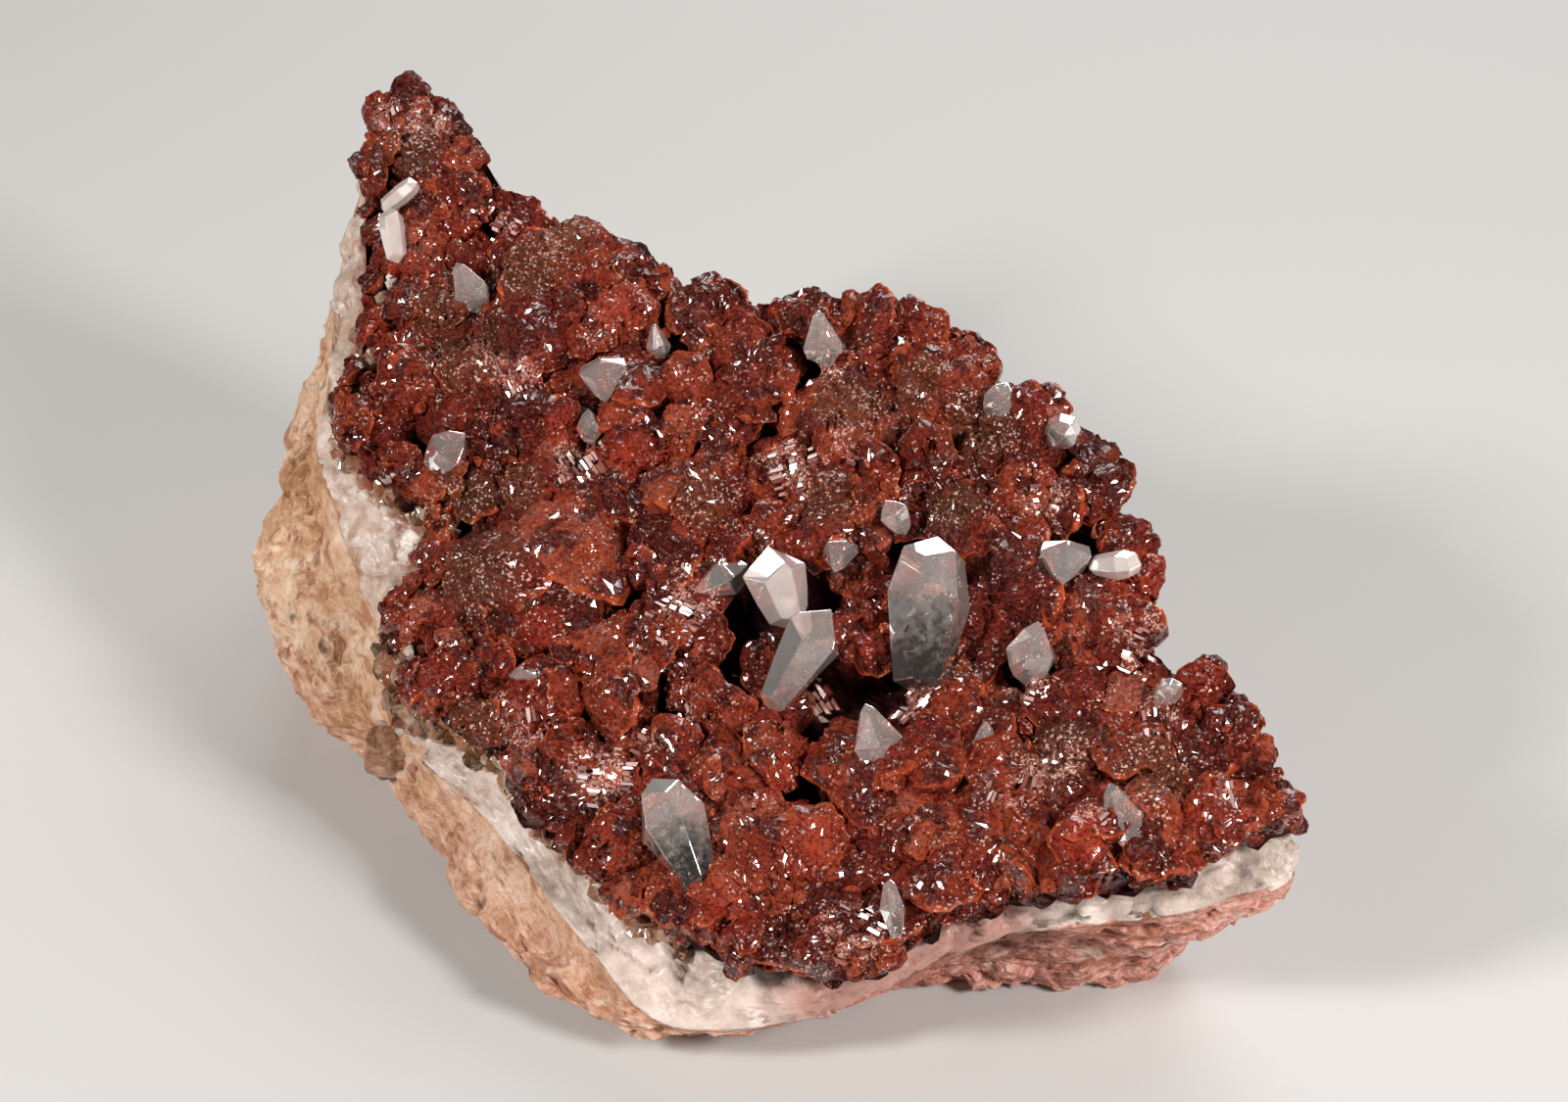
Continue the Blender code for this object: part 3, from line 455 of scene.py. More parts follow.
def grains(points, size, seed):
    """Broken-stone noise: distance to the nearest grain's middle, the grain's number, its slant.

    Each cell of a grid holds one middle at a scattered place, and all 27 cells round are searched.
    The slant is how far a plane through that middle, leaned its own way, stands over the place.
    """
    places = np.asarray(points) / size
    home = np.floor(places)
    nearest = np.full(places.shape[:-1], 9.0)
    owner = home.copy()
    offset = np.zeros_like(places)
    for step in np.ndindex(3, 3, 3):
        cell = home + np.array(step) - 1
        middle = cell + np.stack([scatter(cell, seed + k) for k in (1, 2, 3)], axis=-1)
        away = np.linalg.norm(middle - places, axis=-1)
        closer = away < nearest
        nearest = np.where(closer, away, nearest)
        owner = np.where(closer[..., None], cell, owner)
        offset = np.where(closer[..., None], middle - places, offset)
    lean = np.stack([scatter(owner, seed + k) for k in (5, 6, 7)], axis=-1) - 0.5
    return nearest, scatter(owner, seed + 4), (lean * offset).sum(axis=-1)


# Meshes

def ringed(rings, first, last):
    """Closed forms of triangles from rings (forms, rings, spokes, 3) and a pole at either end."""
    forms, count, spokes, _ = rings.shape
    here = np.arange(spokes)
    ahead = np.roll(here, -1)
    per_form = count * spokes + 2
    start = (1 + spokes * np.arange(count))[:, None]
    low, high = start[:-1], start[1:]
    parts = [
        np.stack([np.zeros(spokes, int), start[0] + here, start[0] + ahead], axis=-1),
        np.stack([low + here, high + here, high + ahead], axis=-1).reshape(-1, 3),
        np.stack([low + here, high + ahead, low + ahead], axis=-1).reshape(-1, 3),
        np.stack([start[-1] + ahead, start[-1] + here, np.full(spokes, per_form - 1)], axis=-1),
    ]
    one = np.concatenate(parts)
    faces = (one + per_form * np.arange(forms)[:, None, None]).reshape(-1, 3)
    body = rings.reshape(forms, count * spokes, 3)
    places = np.concatenate([first[:, None], body, last[:, None]], axis=1).reshape(-1, 3)
    return places, faces


def ringed_values(values, first, last):
    """Values for the points of ringed forms, in the same order."""
    forms = len(values)
    body = values.reshape(forms, -1)
    ends = [np.broadcast_to(end, (forms,))[:, None] for end in (first, last)]
    return np.concatenate([ends[0], body, ends[1]], axis=1).reshape(-1)


def add_piece(name, places, faces, look, slot, smooth=False, **values):
    """A piece from places in millimetres of the design and triangles, with values per point."""
    mesh = bpy.data.meshes.new(name)
    mesh.vertices.add(len(places))
    mesh.vertices.foreach_set("co", ((places - FOOTPRINT_MIDDLE) * MM).astype(np.float32).ravel())
    mesh.loops.add(faces.size)
    mesh.loops.foreach_set("vertex_index", faces.astype(np.int32).ravel())
    mesh.polygons.add(len(faces))
    mesh.polygons.foreach_set("loop_start", np.arange(0, faces.size, 3, dtype=np.int32))
    mesh.polygons.foreach_set("use_smooth", np.full(len(faces), smooth))
    for key, numbers in values.items():
        layer = mesh.attributes.new(key, "FLOAT", "POINT")
        layer.data.foreach_set("value", np.asarray(numbers, np.float32))
    mesh.update()
    mesh.validate()
    mesh.materials.append(look)
    piece = bpy.data.objects.new(name, mesh)
    bpy.context.scene.collection.objects.link(piece)
    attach(piece, "root")
    return piece


# Shader maths

class Sock:
    """A shader socket: sums and products of sockets and numbers add Math nodes."""

    def __init__(self, tree, socket):
        self.tree = tree
        self.socket = socket

    def math(self, operation, *values):
        return self.tree.node("ShaderNodeMath", {"operation": operation}, *values)[0]

    def __add__(self, other):
        return self.math("ADD", self, other)

    def __radd__(self, other):
        return self.math("ADD", other, self)

    def __sub__(self, other):
        return self.math("SUBTRACT", self, other)

    def __rsub__(self, other):
        return self.math("SUBTRACT", other, self)

    def __mul__(self, other):
        return self.math("MULTIPLY", self, other)

    def __rmul__(self, other):
        return self.math("MULTIPLY", other, self)

    def clamp(self, low, high):
        """0 at low and below, 1 at high and above."""
        settings = {"clamp": True}
        values = {"Value": self, "From Min": low, "From Max": high}
        return self.tree.node("ShaderNodeMapRange", settings, **values)[0]


class Look:
    """A material's node tree with one surface shader."""

    def __init__(self, name, **uniform):
        self.material = bpy.data.materials.new(name)
        self.material.use_nodes = True
        self.nodes = self.material.node_tree.nodes
        self.links = self.material.node_tree.links
        self.shader = self.nodes["Principled BSDF"]
        for key, value in uniform.items():
            self.shader.inputs[key.replace("_", " ")].default_value = value

    def put(self, socket, value):
        """Link a socket, or set a number, vector or colour."""
        if isinstance(value, Sock):
            self.links.new(value.socket, socket)
        elif isinstance(value, tuple) and len(value) == 3 and socket.type == "RGBA":
            socket.default_value = (*value, 1)
        else:
            socket.default_value = value

    def node(self, kind, settings=None, *values, **named):
        """A node of this kind: settings first, then its inputs by place or by name."""
        made = self.nodes.new(kind)
        for key, value in (settings or {}).items():
            if key == "stops":
                self.set_stops(made.color_ramp, value)
            else:
                setattr(made, key, value)
        for place, value in enumerate(values):
            self.put(made.inputs[place], value)
        for key, value in named.items():
            self.put(made.inputs[key], value)
        return [Sock(self, output) for output in made.outputs]

    @staticmethod
    def set_stops(ramp, stops):
        while len(ramp.elements) < len(stops):
            ramp.elements.new(0.5)
        for element, (place, colour) in zip(ramp.elements, stops):
            element.position = place
            element.color = (*colour, 1)

    def feed(self, name, value):
        self.put(self.shader.inputs[name], value)

    def place(self):
        return self.node("ShaderNodeTexCoord")[3]

    def value(self, name):
        """The number that the mesh holds under this name at each point."""
        return self.node("ShaderNodeAttribute", {"attribute_name": name})[2]

    def noise(self, place, size, detail=3.0, roughness=0.55):
        """Noise from 0 to 1 whose lumps are about size millimetres wide."""
        scale = 1 / (size * MM)
        values = {"Vector": place, "Scale": scale, "Detail": detail, "Roughness": roughness}
        return self.node("ShaderNodeTexNoise", None, **values)[0]

    def grains(self, place, size):
        """(distance, colour) of broken grains about size millimetres wide."""
        return self.node("ShaderNodeTexVoronoi", None, Vector=place, Scale=1 / (size * MM))[:2]

    def mix(self, share, one, other):
        """One colour at share 0, the other at share 1."""
        made = self.nodes.new("ShaderNodeMix")
        made.data_type = "RGBA"
        made.clamp_factor = True
        for key, value in ((0, share), (6, one), (7, other)):
            self.put(made.inputs[key], value)
        return Sock(self, made.outputs[2])

    def ramp(self, value, stops):
        return self.node("ShaderNodeValToRGB", {"stops": stops}, value)[0]

    def vector(self, operation, *values):
        """A vector sum; SCALE takes its number from the fourth input."""
        made = self.nodes.new("ShaderNodeVectorMath")
        made.operation = operation
        for place, value in enumerate(values):
            self.put(made.inputs[3] if operation == "SCALE" and place == 1 else made.inputs[place],
                     value)
        return Sock(self, made.outputs[0])

    def facet_normal(self, colour, strength, base=None):
        """The normal leaned another way on each grain, by the grain's own colour."""
        lean = self.vector("SUBTRACT", colour, (0.5, 0.5, 0.5))
        lean = self.vector("SCALE", lean, strength)
        start = base or self.node("ShaderNodeNewGeometry")[1]
        return self.vector("NORMALIZE", self.vector("ADD", start, lean))

    def bump(self, height, distance, strength=1.0, normal=None):
        values = {"Strength": strength, "Distance": distance * MM, "Height": height}
        if normal:
            values["Normal"] = normal
        return self.node("ShaderNodeBump", None, **values)[0]


def crust_look():
    """Drusy brownish red with thin rims painted glowing, as light shining through, and grains that
    glint one by one.

    Growth lines run round each lens, and glassy patches are darker, partly as painted shade, and
    glint all over. Spots named in the photograph are bright red with a painted glow, dull grey-brown
    partly as a painted sheen, or full of painted pale glitter, and pale painted glints are strewn
    over the rest. The low parts and gaps are painted nearly black as shade.
    """
    look = Look("roselite_drusy", IOR=1.5, Specular_IOR_Level=0.08, Coat_Roughness=0.09,
                Coat_IOR=1.7)
    place = look.place()
    rim, tone, low = look.value("rim"), look.value("tone"), look.value("low")
    bright, drusy, pale = look.value("bright"), look.value("drusy"), look.value("pale")
    patches = look.noise(place, 3.4, 3.0)
    broken = look.noise(place, 1.6, 3.0, 0.65)
    speckle = look.noise(place, 0.24, 2.0, 0.75)
    _, fine = look.grains(place, 0.13)
    _, wide = look.grains(place, 0.42)
    pick, second = look.node("ShaderNodeSeparateColor", None, fine)[:2]
    third = look.node("ShaderNodeSeparateColor", None, wide)[1]
    phase = look.value("growth") * (2000 * pi * MM / GROWTH_SPACING) + broken * 5.0
    line = look.node("ShaderNodeMath", {"operation": "SINE"}, phase)[0]
    body = look.ramp(tone * 0.70 + patches * 0.55 - 0.12, [
        (0.18, (0.050, 0.004, 0.003)), (0.34, (0.120, 0.010, 0.007)), (0.48, (0.180, 0.018, 0.008)),
        (0.62, (0.245, 0.032, 0.013)), (0.76, (0.315, 0.052, 0.021)), (0.90, (0.310, 0.080, 0.052)),
    ])
    # Glassy patches: darker glassy crust, partly painted shade, with glints from the coat.
    glassy_and_shade = look.noise(place, 2.2, 3.0, 0.6).clamp(0.52, 0.57) * (1 - drusy)
    body = look.mix(glassy_and_shade * 0.85, body, (0.045, 0.004, 0.005))
    # Painted glow: bright red at the spots and patches, partly the redder crust itself, partly light
    # shining through the lumps.
    painted_glow = (bright * 0.8 + patches * 0.9).clamp(0.80, 1.30)
    body = look.mix(painted_glow * 0.55, body, (0.400, 0.037, 0.017))
    # Drusy spots: dull grey-brown, partly the drusy crust's own colour, partly a painted grey sheen.
    body = look.mix(drusy * 0.70, body, (0.080, 0.034, 0.018))
    body = look.mix(speckle.clamp(0.48, 0.66) * 0.35, body, (0.360, 0.080, 0.040))
    body = look.mix(speckle.clamp(0.52, 0.36) * 0.70, body, (0.030, 0.002, 0.001))
    lines = line.clamp(0.1, 0.9) * broken.clamp(0.45, 0.60)
    body = look.mix(lines * 0.5, body, (0.055, 0.006, 0.003))
    # Painted glow along the thin rims, as light shining through them.
    edge = (rim * 0.8 + broken * 0.7).clamp(0.98, 1.25)
    body = look.mix(edge * 0.85, body, (0.620, 0.095, 0.028))
    # Painted shade: the low parts of the crust and its gaps darkened nearly to black.
    body = look.mix(low * 0.95, body, (0.010, 0.001, 0.001))
    # Painted glitter: pale specks in the colour near the plate fans, standing in for their glints.
    painted_glitter = pale * broken.clamp(0.44, 0.56)
    body = look.mix(painted_glitter * speckle.clamp(0.40, 0.55) * 0.5, body, (0.500, 0.160, 0.115))
    # Painted glints: scattered pale specks in the colour, more near the painted glitter, none in the
    # painted shade.
    painted_glints = (pick + broken * 0.6 + drusy * 0.06 + painted_glitter * 0.26).clamp(1.26, 1.29) * (1 - low)
    body = look.mix(painted_glints * 0.7, body, (0.760, 0.480, 0.400))
    look.feed("Base Color", body)
    single = second.clamp(0.48, 0.58) * third.clamp(0.32, 0.50)
    shiny = (single + glassy_and_shade * 0.8) * (1 - low)
    look.feed("Normal", look.facet_normal(wide, 0.55, look.facet_normal(fine, 0.45)))
    look.feed("Roughness", 0.62 - shiny * 0.35)
    look.feed("Coat Weight", shiny)
    return look.material


def plate_look():
    """Cleaner plates of roselite: pinkish, smooth and bright where they face the light, their palest
    tones painted in as glints.
    """
    look = Look("roselite_plates", IOR=1.6, Roughness=0.30, Coat_Weight=0.8, Coat_Roughness=0.16)
    place = look.place()
    tone = look.value("tone")
    streaks = look.noise(place, 0.6, 2.0)
    # The pinkish middle of the ramp is the plates' own colour; its pale top is painted glint.
    look.feed("Base Color", look.ramp(tone * 0.65 + streaks * 0.35, [
        (0.15, (0.12, 0.012, 0.006)), (0.45, (0.24, 0.045, 0.028)), (0.70, (0.42, 0.18, 0.14)),
        (0.92, (0.74, 0.52, 0.46)),
    ]))
    return look.material


def vein_look():
    """Milky calcite: cream with a pink cast, grey depths, rust along cracks near the crust."""
    look = Look("milky_calcite", IOR=1.55, Subsurface_Weight=0.25, Subsurface_Scale=0.001,
                Coat_Weight=0.2, Coat_Roughness=0.2)
    look.feed("Subsurface Radius", (1.0, 0.8, 0.7))
    place = look.place()
    clouds = look.noise(place, 5.0, 4.0)
    fine = look.noise(place, 1.0, 4.0, 0.65)
    rust, near, rosy = look.value("rust"), look.value("near"), look.value("rosy")
    body = look.ramp(clouds * 0.6 + fine * 0.4, [
        (0.32, (0.36, 0.28, 0.23)), (0.43, (0.56, 0.44, 0.37)), (0.53, (0.72, 0.58, 0.51)),
        (0.66, (0.90, 0.78, 0.72)),
    ])
    stain = look.noise(place, 1.8, 4.0, 0.7)
    body = look.mix((rust * 0.35 + stain).clamp(0.78, 0.98) * 0.6, body, (0.42, 0.21, 0.11))
    near_stain = near * (0.35 + rust * 0.65) * 0.95
    body = look.mix((near_stain + stain).clamp(1.05, 1.35) * 0.85, body, (0.30, 0.105, 0.055))
    body = look.mix((rosy * 0.8 + stain * 0.6).clamp(0.5, 1.05) * 0.9, body, (0.47, 0.22, 0.175))
    look.feed("Base Color", body)
    look.feed("Roughness", 0.3 + fine * 0.3)
    _, colour = look.grains(place, 0.9)
    look.feed("Normal", look.bump(fine, 0.35, 0.6, look.facet_normal(colour, 0.30)))
    return look.material


def stain_look():
    """Glassy grains between vein and crust: olive brown, clear, rusty and pinkish ones."""
    look = Look("stained_calcite", IOR=1.58, Roughness=0.22, Coat_Weight=0.6, Coat_Roughness=0.08)
    place = look.place()
    tone = look.value("tone")
    cloud = look.noise(place, 1.3, 3.0)
    look.feed("Base Color", look.ramp(tone * 0.65 + cloud * 0.35, [
        (0.18, (0.060, 0.028, 0.010)), (0.36, (0.20, 0.085, 0.032)), (0.50, (0.34, 0.115, 0.060)),
        (0.66, (0.40, 0.26, 0.17)), (0.84, (0.62, 0.50, 0.42)),
    ]))
    _, colour = look.grains(place, 0.45)
    look.feed("Normal", look.facet_normal(colour, 0.4))
    return look.material


def rock_look():
    """Granular rock, streaked along its bedding: peach and cream left, salmon and brown right.

    The bedding lies along the slab, so the pattern is turned onto the slab's axes and pressed
    thin across them.
    """
    look = Look("pale_host_rock", IOR=1.5, Specular_IOR_Level=0.3)
    place = look.place()
    salmon, dark = look.value("salmon"), look.value("dark")
    turn = Matrix(SLAB_AXES.T.tolist()).to_euler()
    along = look.node("ShaderNodeMapping", {"vector_type": "TEXTURE"}, Vector=place,
                      Rotation=tuple(turn), Scale=(1.0, 1.0, 0.22))[0]
    beds = look.noise(along, 3.2, 5.0, 0.62)
    clouds = look.noise(place, 6.0, 3.0)
    fine = look.noise(place, 0.6, 4.0, 0.75)
    grit = look.noise(along, 1.0, 3.0, 0.7)
    tan = look.ramp(clouds * 0.40 + fine * 0.25 + grit * 0.35, [
        (0.34, (0.30, 0.13, 0.055)), (0.42, (0.52, 0.28, 0.150)), (0.50, (0.68, 0.43, 0.280)),
        (0.59, (0.82, 0.60, 0.45)), (0.69, (0.88, 0.76, 0.64)),
    ])
    pink = look.ramp(clouds * 0.25 + fine * 0.35 + grit * 0.40, [
        (0.37, (0.17, 0.045, 0.026)), (0.44, (0.44, 0.165, 0.118)), (0.51, (0.62, 0.28, 0.22)),
        (0.61, (0.82, 0.52, 0.45)),
    ])
    body = look.mix(salmon, tan, pink)
    body = look.mix(beds.clamp(0.53, 0.62) * 0.75, body, (0.36, 0.140, 0.065))
    body = look.mix(beds.clamp(0.42, 0.34) * 0.60, body, (0.84, 0.70, 0.60))
    distance, _ = look.grains(place, 4.2)
    spots = look.noise(place, 2.6, 2.0)
    speck = (1 - distance + fine * 0.25).clamp(0.93, 1.02) * spots.clamp(0.50, 0.58)
    body = look.mix(speck * 0.9, body, (0.040, 0.022, 0.014))
    # Darker brown by the mesh's dark value: painted shade under the front right bulge, and darker
    # knobs.
    body = look.mix(dark, body, (0.085, 0.036, 0.020))
    look.feed("Base Color", body)
    look.feed("Roughness", 0.70 + fine * 0.25)
    look.feed("Normal", look.bump(fine * 0.6 + grit * 0.6, 0.45, 0.9))
    return look.material


def clear_look(name, dark, milk):
    """Clear calcite with a faint pink cast, milkier or smoky in the lower part by crystal."""
    look = Look(name, IOR=1.49, Transmission_Weight=0.90 - 0.55 * milk, Specular_IOR_Level=0.6,
                Coat_Weight=0.5, Coat_Roughness=0.24, Coat_IOR=1.8)
    place = look.place()
    root = look.value("root")
    veil = look.noise(place, 1.4, 4.0, 0.65)
    cloud = look.noise(place, 0.6, 3.0, 0.6)
    body = look.ramp(veil, [
        (0.30, (0.90, 0.72, 0.66)), (0.50, (0.98, 0.87, 0.83)), (0.7, (1.0, 0.95, 0.92)),
    ])
    share = (root + cloud * 0.9).clamp(0.90, 1.20) * dark
    look.feed("Base Color", look.mix(share, body, (0.075, 0.055, 0.040)))
    look.feed("Roughness", veil.clamp(0.60, 0.85) * 0.04)
    return look.material


# Crust

class Crust:
    """Height of the crust over the slab: the highest of many leaning lenses, less the pits."""

    def __init__(self):
        random = draws("crust")
        table = np.array(AGGREGATES, float)
        self.middle = on_slab(table[:, 0], table[:, 1], 1.0)
        self.radius = table[:, 2] / PICTURE_SCALE * LENS_OVERLAP
        count = len(table)
        turn = random.uniform(0, 2 * pi, count)
        slope = random.uniform(0.05, 0.5, count)
        self.slope = slope[:, None] * heading(turn)
        self.top = 0.5 + 0.42 * self.radius + random.uniform(-0.5, 0.9, count)
        pits = np.array(PITS, float)
        self.pit_middle = on_slab(pits[:, 0], pits[:, 1])
        self.pit_size = pits[:, 2:4] / PICTURE_SCALE
        self.pit_turn = np.radians(pits[:, 4])

    def pit_share(self, places):
        """Distance from the nearest pit, 1 on its brim."""
        away = places[..., None, :] - self.pit_middle
        c, s = np.cos(self.pit_turn), np.sin(self.pit_turn)
        along = away[..., 0] * c + away[..., 1] * s
        across = away[..., 1] * c - away[..., 0] * s
        return np.hypot(along / self.pit_size[:, 0], across / self.pit_size[:, 1]).min(axis=-1)

    def height(self, places):
        """Half-round lenses of each aggregate's radius, leaned by its slope, down to the pits."""
        away = places[:, None] - self.middle
        share = np.linalg.norm(away, axis=2) / self.radius
        dome = 0.5 * self.radius * (np.sqrt(np.clip(1 - share**2, 0, 1)) - 1)
        leaned = self.top + dome + (away * self.slope).sum(axis=2)
        surface = np.maximum(np.where(share < 1, leaned, GROUND_LEVEL).max(axis=1), GROUND_LEVEL)
        deep = np.clip((1.25 - self.pit_share(places)) / 0.35, 0, 1)
        return surface + deep * (PIT_LEVEL - surface)

    def carries(self, places, clear):
        """True for places on the crust that are clear times as far from a pit as its brim."""
        outline = smooth_loop(CRUST_OUTLINE, EDGE_STEPS)
        return inside(places, outline) & (self.pit_share(places) > clear)


def lens_forms(middle, normal, radius, thick, spokes, tops, seed, coarse=0.0):
    """Many lenses at once: rings from the brow of each to its rim and a shallow underside.

    A ring at share s of the radius stands thick * (1 - s^3)^0.75 over the lens's middle plane. The
    rim is wavy and finely toothed, growth steps run round it, planes lean each stretch of the
    surface its own way, and grains break the coarse lenses. Returns places, triangles, and for
    each point how near it is to the rim and its distance from the middle.
    """
    random = np.random.default_rng(seed)
    count = len(middle)
    first, second = side_vectors(normal, random.uniform(0, 2 * pi, count))
    angle = 2 * pi * np.arange(spokes) / spokes
    wave = 1
    for (lobes, depth), phase in zip(RIM_WAVES, random.uniform(0, 2 * pi, (4, count, 1))):
        wave = wave + depth * np.cos(lobes * angle + phase)
    wave += random.uniform(-RIM_TEETH, RIM_TEETH, (count, spokes))
    share = np.concatenate([tops, UNDER_SHARES])[None, :, None]
    below = np.full(len(UNDER_SHARES), -UNDERSIDE_DEPTH)
    side = np.concatenate([np.ones(len(tops)), below])[None, :, None]
    reach = radius[:, None, None] * share * wave[:, None, :]
    level = thick[:, None, None] * side * np.clip(1 - share**3, 0, 1) ** 0.75
    level = np.broadcast_to(level, reach.shape)
    out = np.cos(angle)[:, None] * first[:, None, None, :]
    out = out + np.sin(angle)[:, None] * second[:, None, None, :]
    rings = middle[:, None, None] + reach[..., None] * out
    rings = rings + level[..., None] * normal[:, None, None]
    near, lift, slant = grains(rings, SMALL_PLANES, seed + 50)
    _, _, plane = grains(rings, LARGE_PLANES, seed + 80)
    steps = np.abs((reach / STEP_SPACING + 0.5 * drift(rings, 1.5, seed + 60)) % 1 - 0.5)
    strength = np.broadcast_to(coarse, (count,))[:, None, None]
    push = 0.14 * steps + 0.14 * drift(rings, 1.3, seed + 70) + 0.32 * slant + 1.1 * plane
    push = push + strength * (0.20 * (lift - 0.5) - 0.14 * near)
    rings = rings + (push * np.sign(side))[..., None] * normal[:, None, None]
    brow = middle + thick[:, None] * normal
    belly = middle - (thick * UNDERSIDE_DEPTH)[:, None] * normal
    rim = np.broadcast_to(share**5 * np.where(side > 0, 1.0, 1.6), reach.shape)
    values = ringed_values(rim, 0.0, 0.2), ringed_values(reach, 0.0, 0.0)
    return (*ringed(rings, brow, belly), *values)


def lens_normal(crust):
    """Facing of each aggregate's lens: leaned against its slope, and a little its own way."""
    random = draws("facing")
    flat = -1.5 * crust.slope + random.normal(0, 0.16, crust.slope.shape)
    return unit(np.column_stack([flat, np.ones(len(flat))])) @ SLAB_AXES


def crust_values(places, rim, growth, tone, extra_shade=0.0):
    """The values that the crust's finish reads at each point."""
    return {"rim": rim, "growth": growth, "tone": tone,
            # low is the share of painted shade; bright and pale mark where painted glow and painted
            # glitter go.
            "low": np.clip(painted_shade_share(places) + extra_shade, 0, 1),
            "bright": spot_share(places, BRIGHT_SPOTS), "drusy": spot_share(places, DRUSY_SPOTS),
            "pale": spot_share(places, PLATE_FANS)}


def lenses(crust, look):
    """The main lens of every aggregate, in two pieces."""
    random = draws("lenses")
    normal = lens_normal(crust)
    thick = crust.radius * random.uniform(0.34, 0.50, len(crust.radius))
    middle = raised(crust.middle, crust.top - thick)
    coarse = spot_share(middle, DRUSY_SPOTS) + 0.3 * random.uniform(0, 1, len(middle)) ** 3
    thick = thick * (1 + 0.6 * spot_share(middle, DRUSY_SPOTS))
    tone = random.uniform(0, 1, len(middle))
    for index, rows in enumerate(np.array_split(np.arange(len(middle)), 2)):
        forms = lens_forms(middle[rows], normal[rows], crust.radius[rows], thick[rows],
                           LENS_SPOKES, LENS_TOPS, 31 + index, coarse[rows])
        crust_part(f"roselite_lenses_{index + 1}", forms, tone[rows], look)


def satellites(crust, each, reach, size, lean, seed):
    """Smaller lenses beside each aggregate's own: middle, normal, radius and thickness.

    Each sits at a share of the lens's radius, on its dome, and leans outward from its middle.
    """
    random = np.random.default_rng(seed)
    parent = np.repeat(np.arange(len(crust.radius)), each)
    count = len(parent)
    angle = random.uniform(0, 2 * pi, count)
    share = random.uniform(*reach, count)
    radius = crust.radius[parent] * random.uniform(*size, count)
    step = heading(angle)
    out = step @ SLAB_AXES[:2]
    aside = random.normal(0, 0.22, (count, 3))
    tilt = random.uniform(*lean, count)[:, None]
    normal = unit(lens_normal(crust)[parent] + tilt * out + aside)
    spot = crust.middle[parent] + (share * crust.radius[parent])[:, None] * step
    thick = radius * random.uniform(0.38, 0.62, count)
    dome = 0.34 * crust.radius[parent] * (np.clip(1 - share**3, 0, 1) ** 0.75 - 1)
    incline = ((spot - crust.middle[parent]) * crust.slope[parent]).sum(axis=1)
    level = crust.top[parent] + dome + incline - thick * random.uniform(0.5, 1.6, count)
    level = np.clip(level, GROUND_LEVEL, HIGHEST_LENS)
    kept = crust.carries(spot, 1.3)
    middle = raised(spot, level)
    return middle[kept], normal[kept], radius[kept], thick[kept]


def leaning_lenses(look, name, forms, spokes, tops, seed):
    """Satellite lenses in two pieces, with a tone to each lens."""
    tone = np.random.default_rng(seed + 3).uniform(0, 1, len(forms[0]))
    for index, rows in enumerate(np.array_split(np.arange(len(tone)), 2)):
        part = lens_forms(*[values[rows] for values in forms], spokes, tops, seed + 14 + index)
        crust_part(f"{name}_{index + 1}", part, tone[rows], look)


def painted_shade_share(places):
    """How deep places lie in the crust, as their share of painted shade: 0 where the shade starts
    over the slab, 1 at its full depth under that.
    """
    return np.clip((SHADE_BELOW - (places - SLAB_MIDDLE) @ SLAB_OUT) / SHADE_DEPTH, 0, 1) ** 1.3


def crust_part(name, forms, tone, look, extra_shade=0.0):
    """A piece of the crust from lens forms with one tone to each lens."""
    places, faces, rim, growth = forms
    tones = np.repeat(tone, len(places) // len(tone))
    values = crust_values(places, rim, growth, tones, extra_shade)
    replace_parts(add_piece(name, places, faces, look, "crust", **values), "roselite_crust")


def rim_lenses(look):
    """Lenses along the crust's outer wall, facing outward."""
    random = draws("rim")
    count = RIM_LENSES
    loop = smooth_loop(CRUST_OUTLINE, count)
    out = across_run(loop, 2)
    radius = random.uniform(0.6, 1.5, count)
    level = random.uniform(-1.1, 0.7, count)
    spot = loop - out * random.uniform(0.4, 1.3, count)[:, None]
    facing = np.column_stack([out * random.uniform(0.3, 1.4, count)[:, None], np.ones(count)])
    normal = unit(facing + random.normal(0, 0.25, (count, 3))) @ SLAB_AXES
    middle = raised(spot, level)
    forms = lens_forms(middle, normal, radius, radius * 0.4, RIM_SPOKES, PETAL_TOPS, 33)
    # The rim lenses get less painted shade than their height gives.
    crust_part("roselite_rim", forms, random.uniform(0, 1, count), look, -0.45)


def inside(places, outline):
    """True where a place lies inside the closed outline, by counting crossings."""
    ahead = np.roll(outline, -1, axis=0)
    x, y = places[:, :1], places[:, 1:]
    spans = (outline[:, 1] > y) != (ahead[:, 1] > y)
    rise = np.where(ahead[:, 1] == outline[:, 1], 1.0, ahead[:, 1] - outline[:, 1])
    meets = outline[:, 0] + (y - outline[:, 1]) / rise * (ahead[:, 0] - outline[:, 0])
    return (spans & (x < meets)).sum(axis=1) % 2 == 1


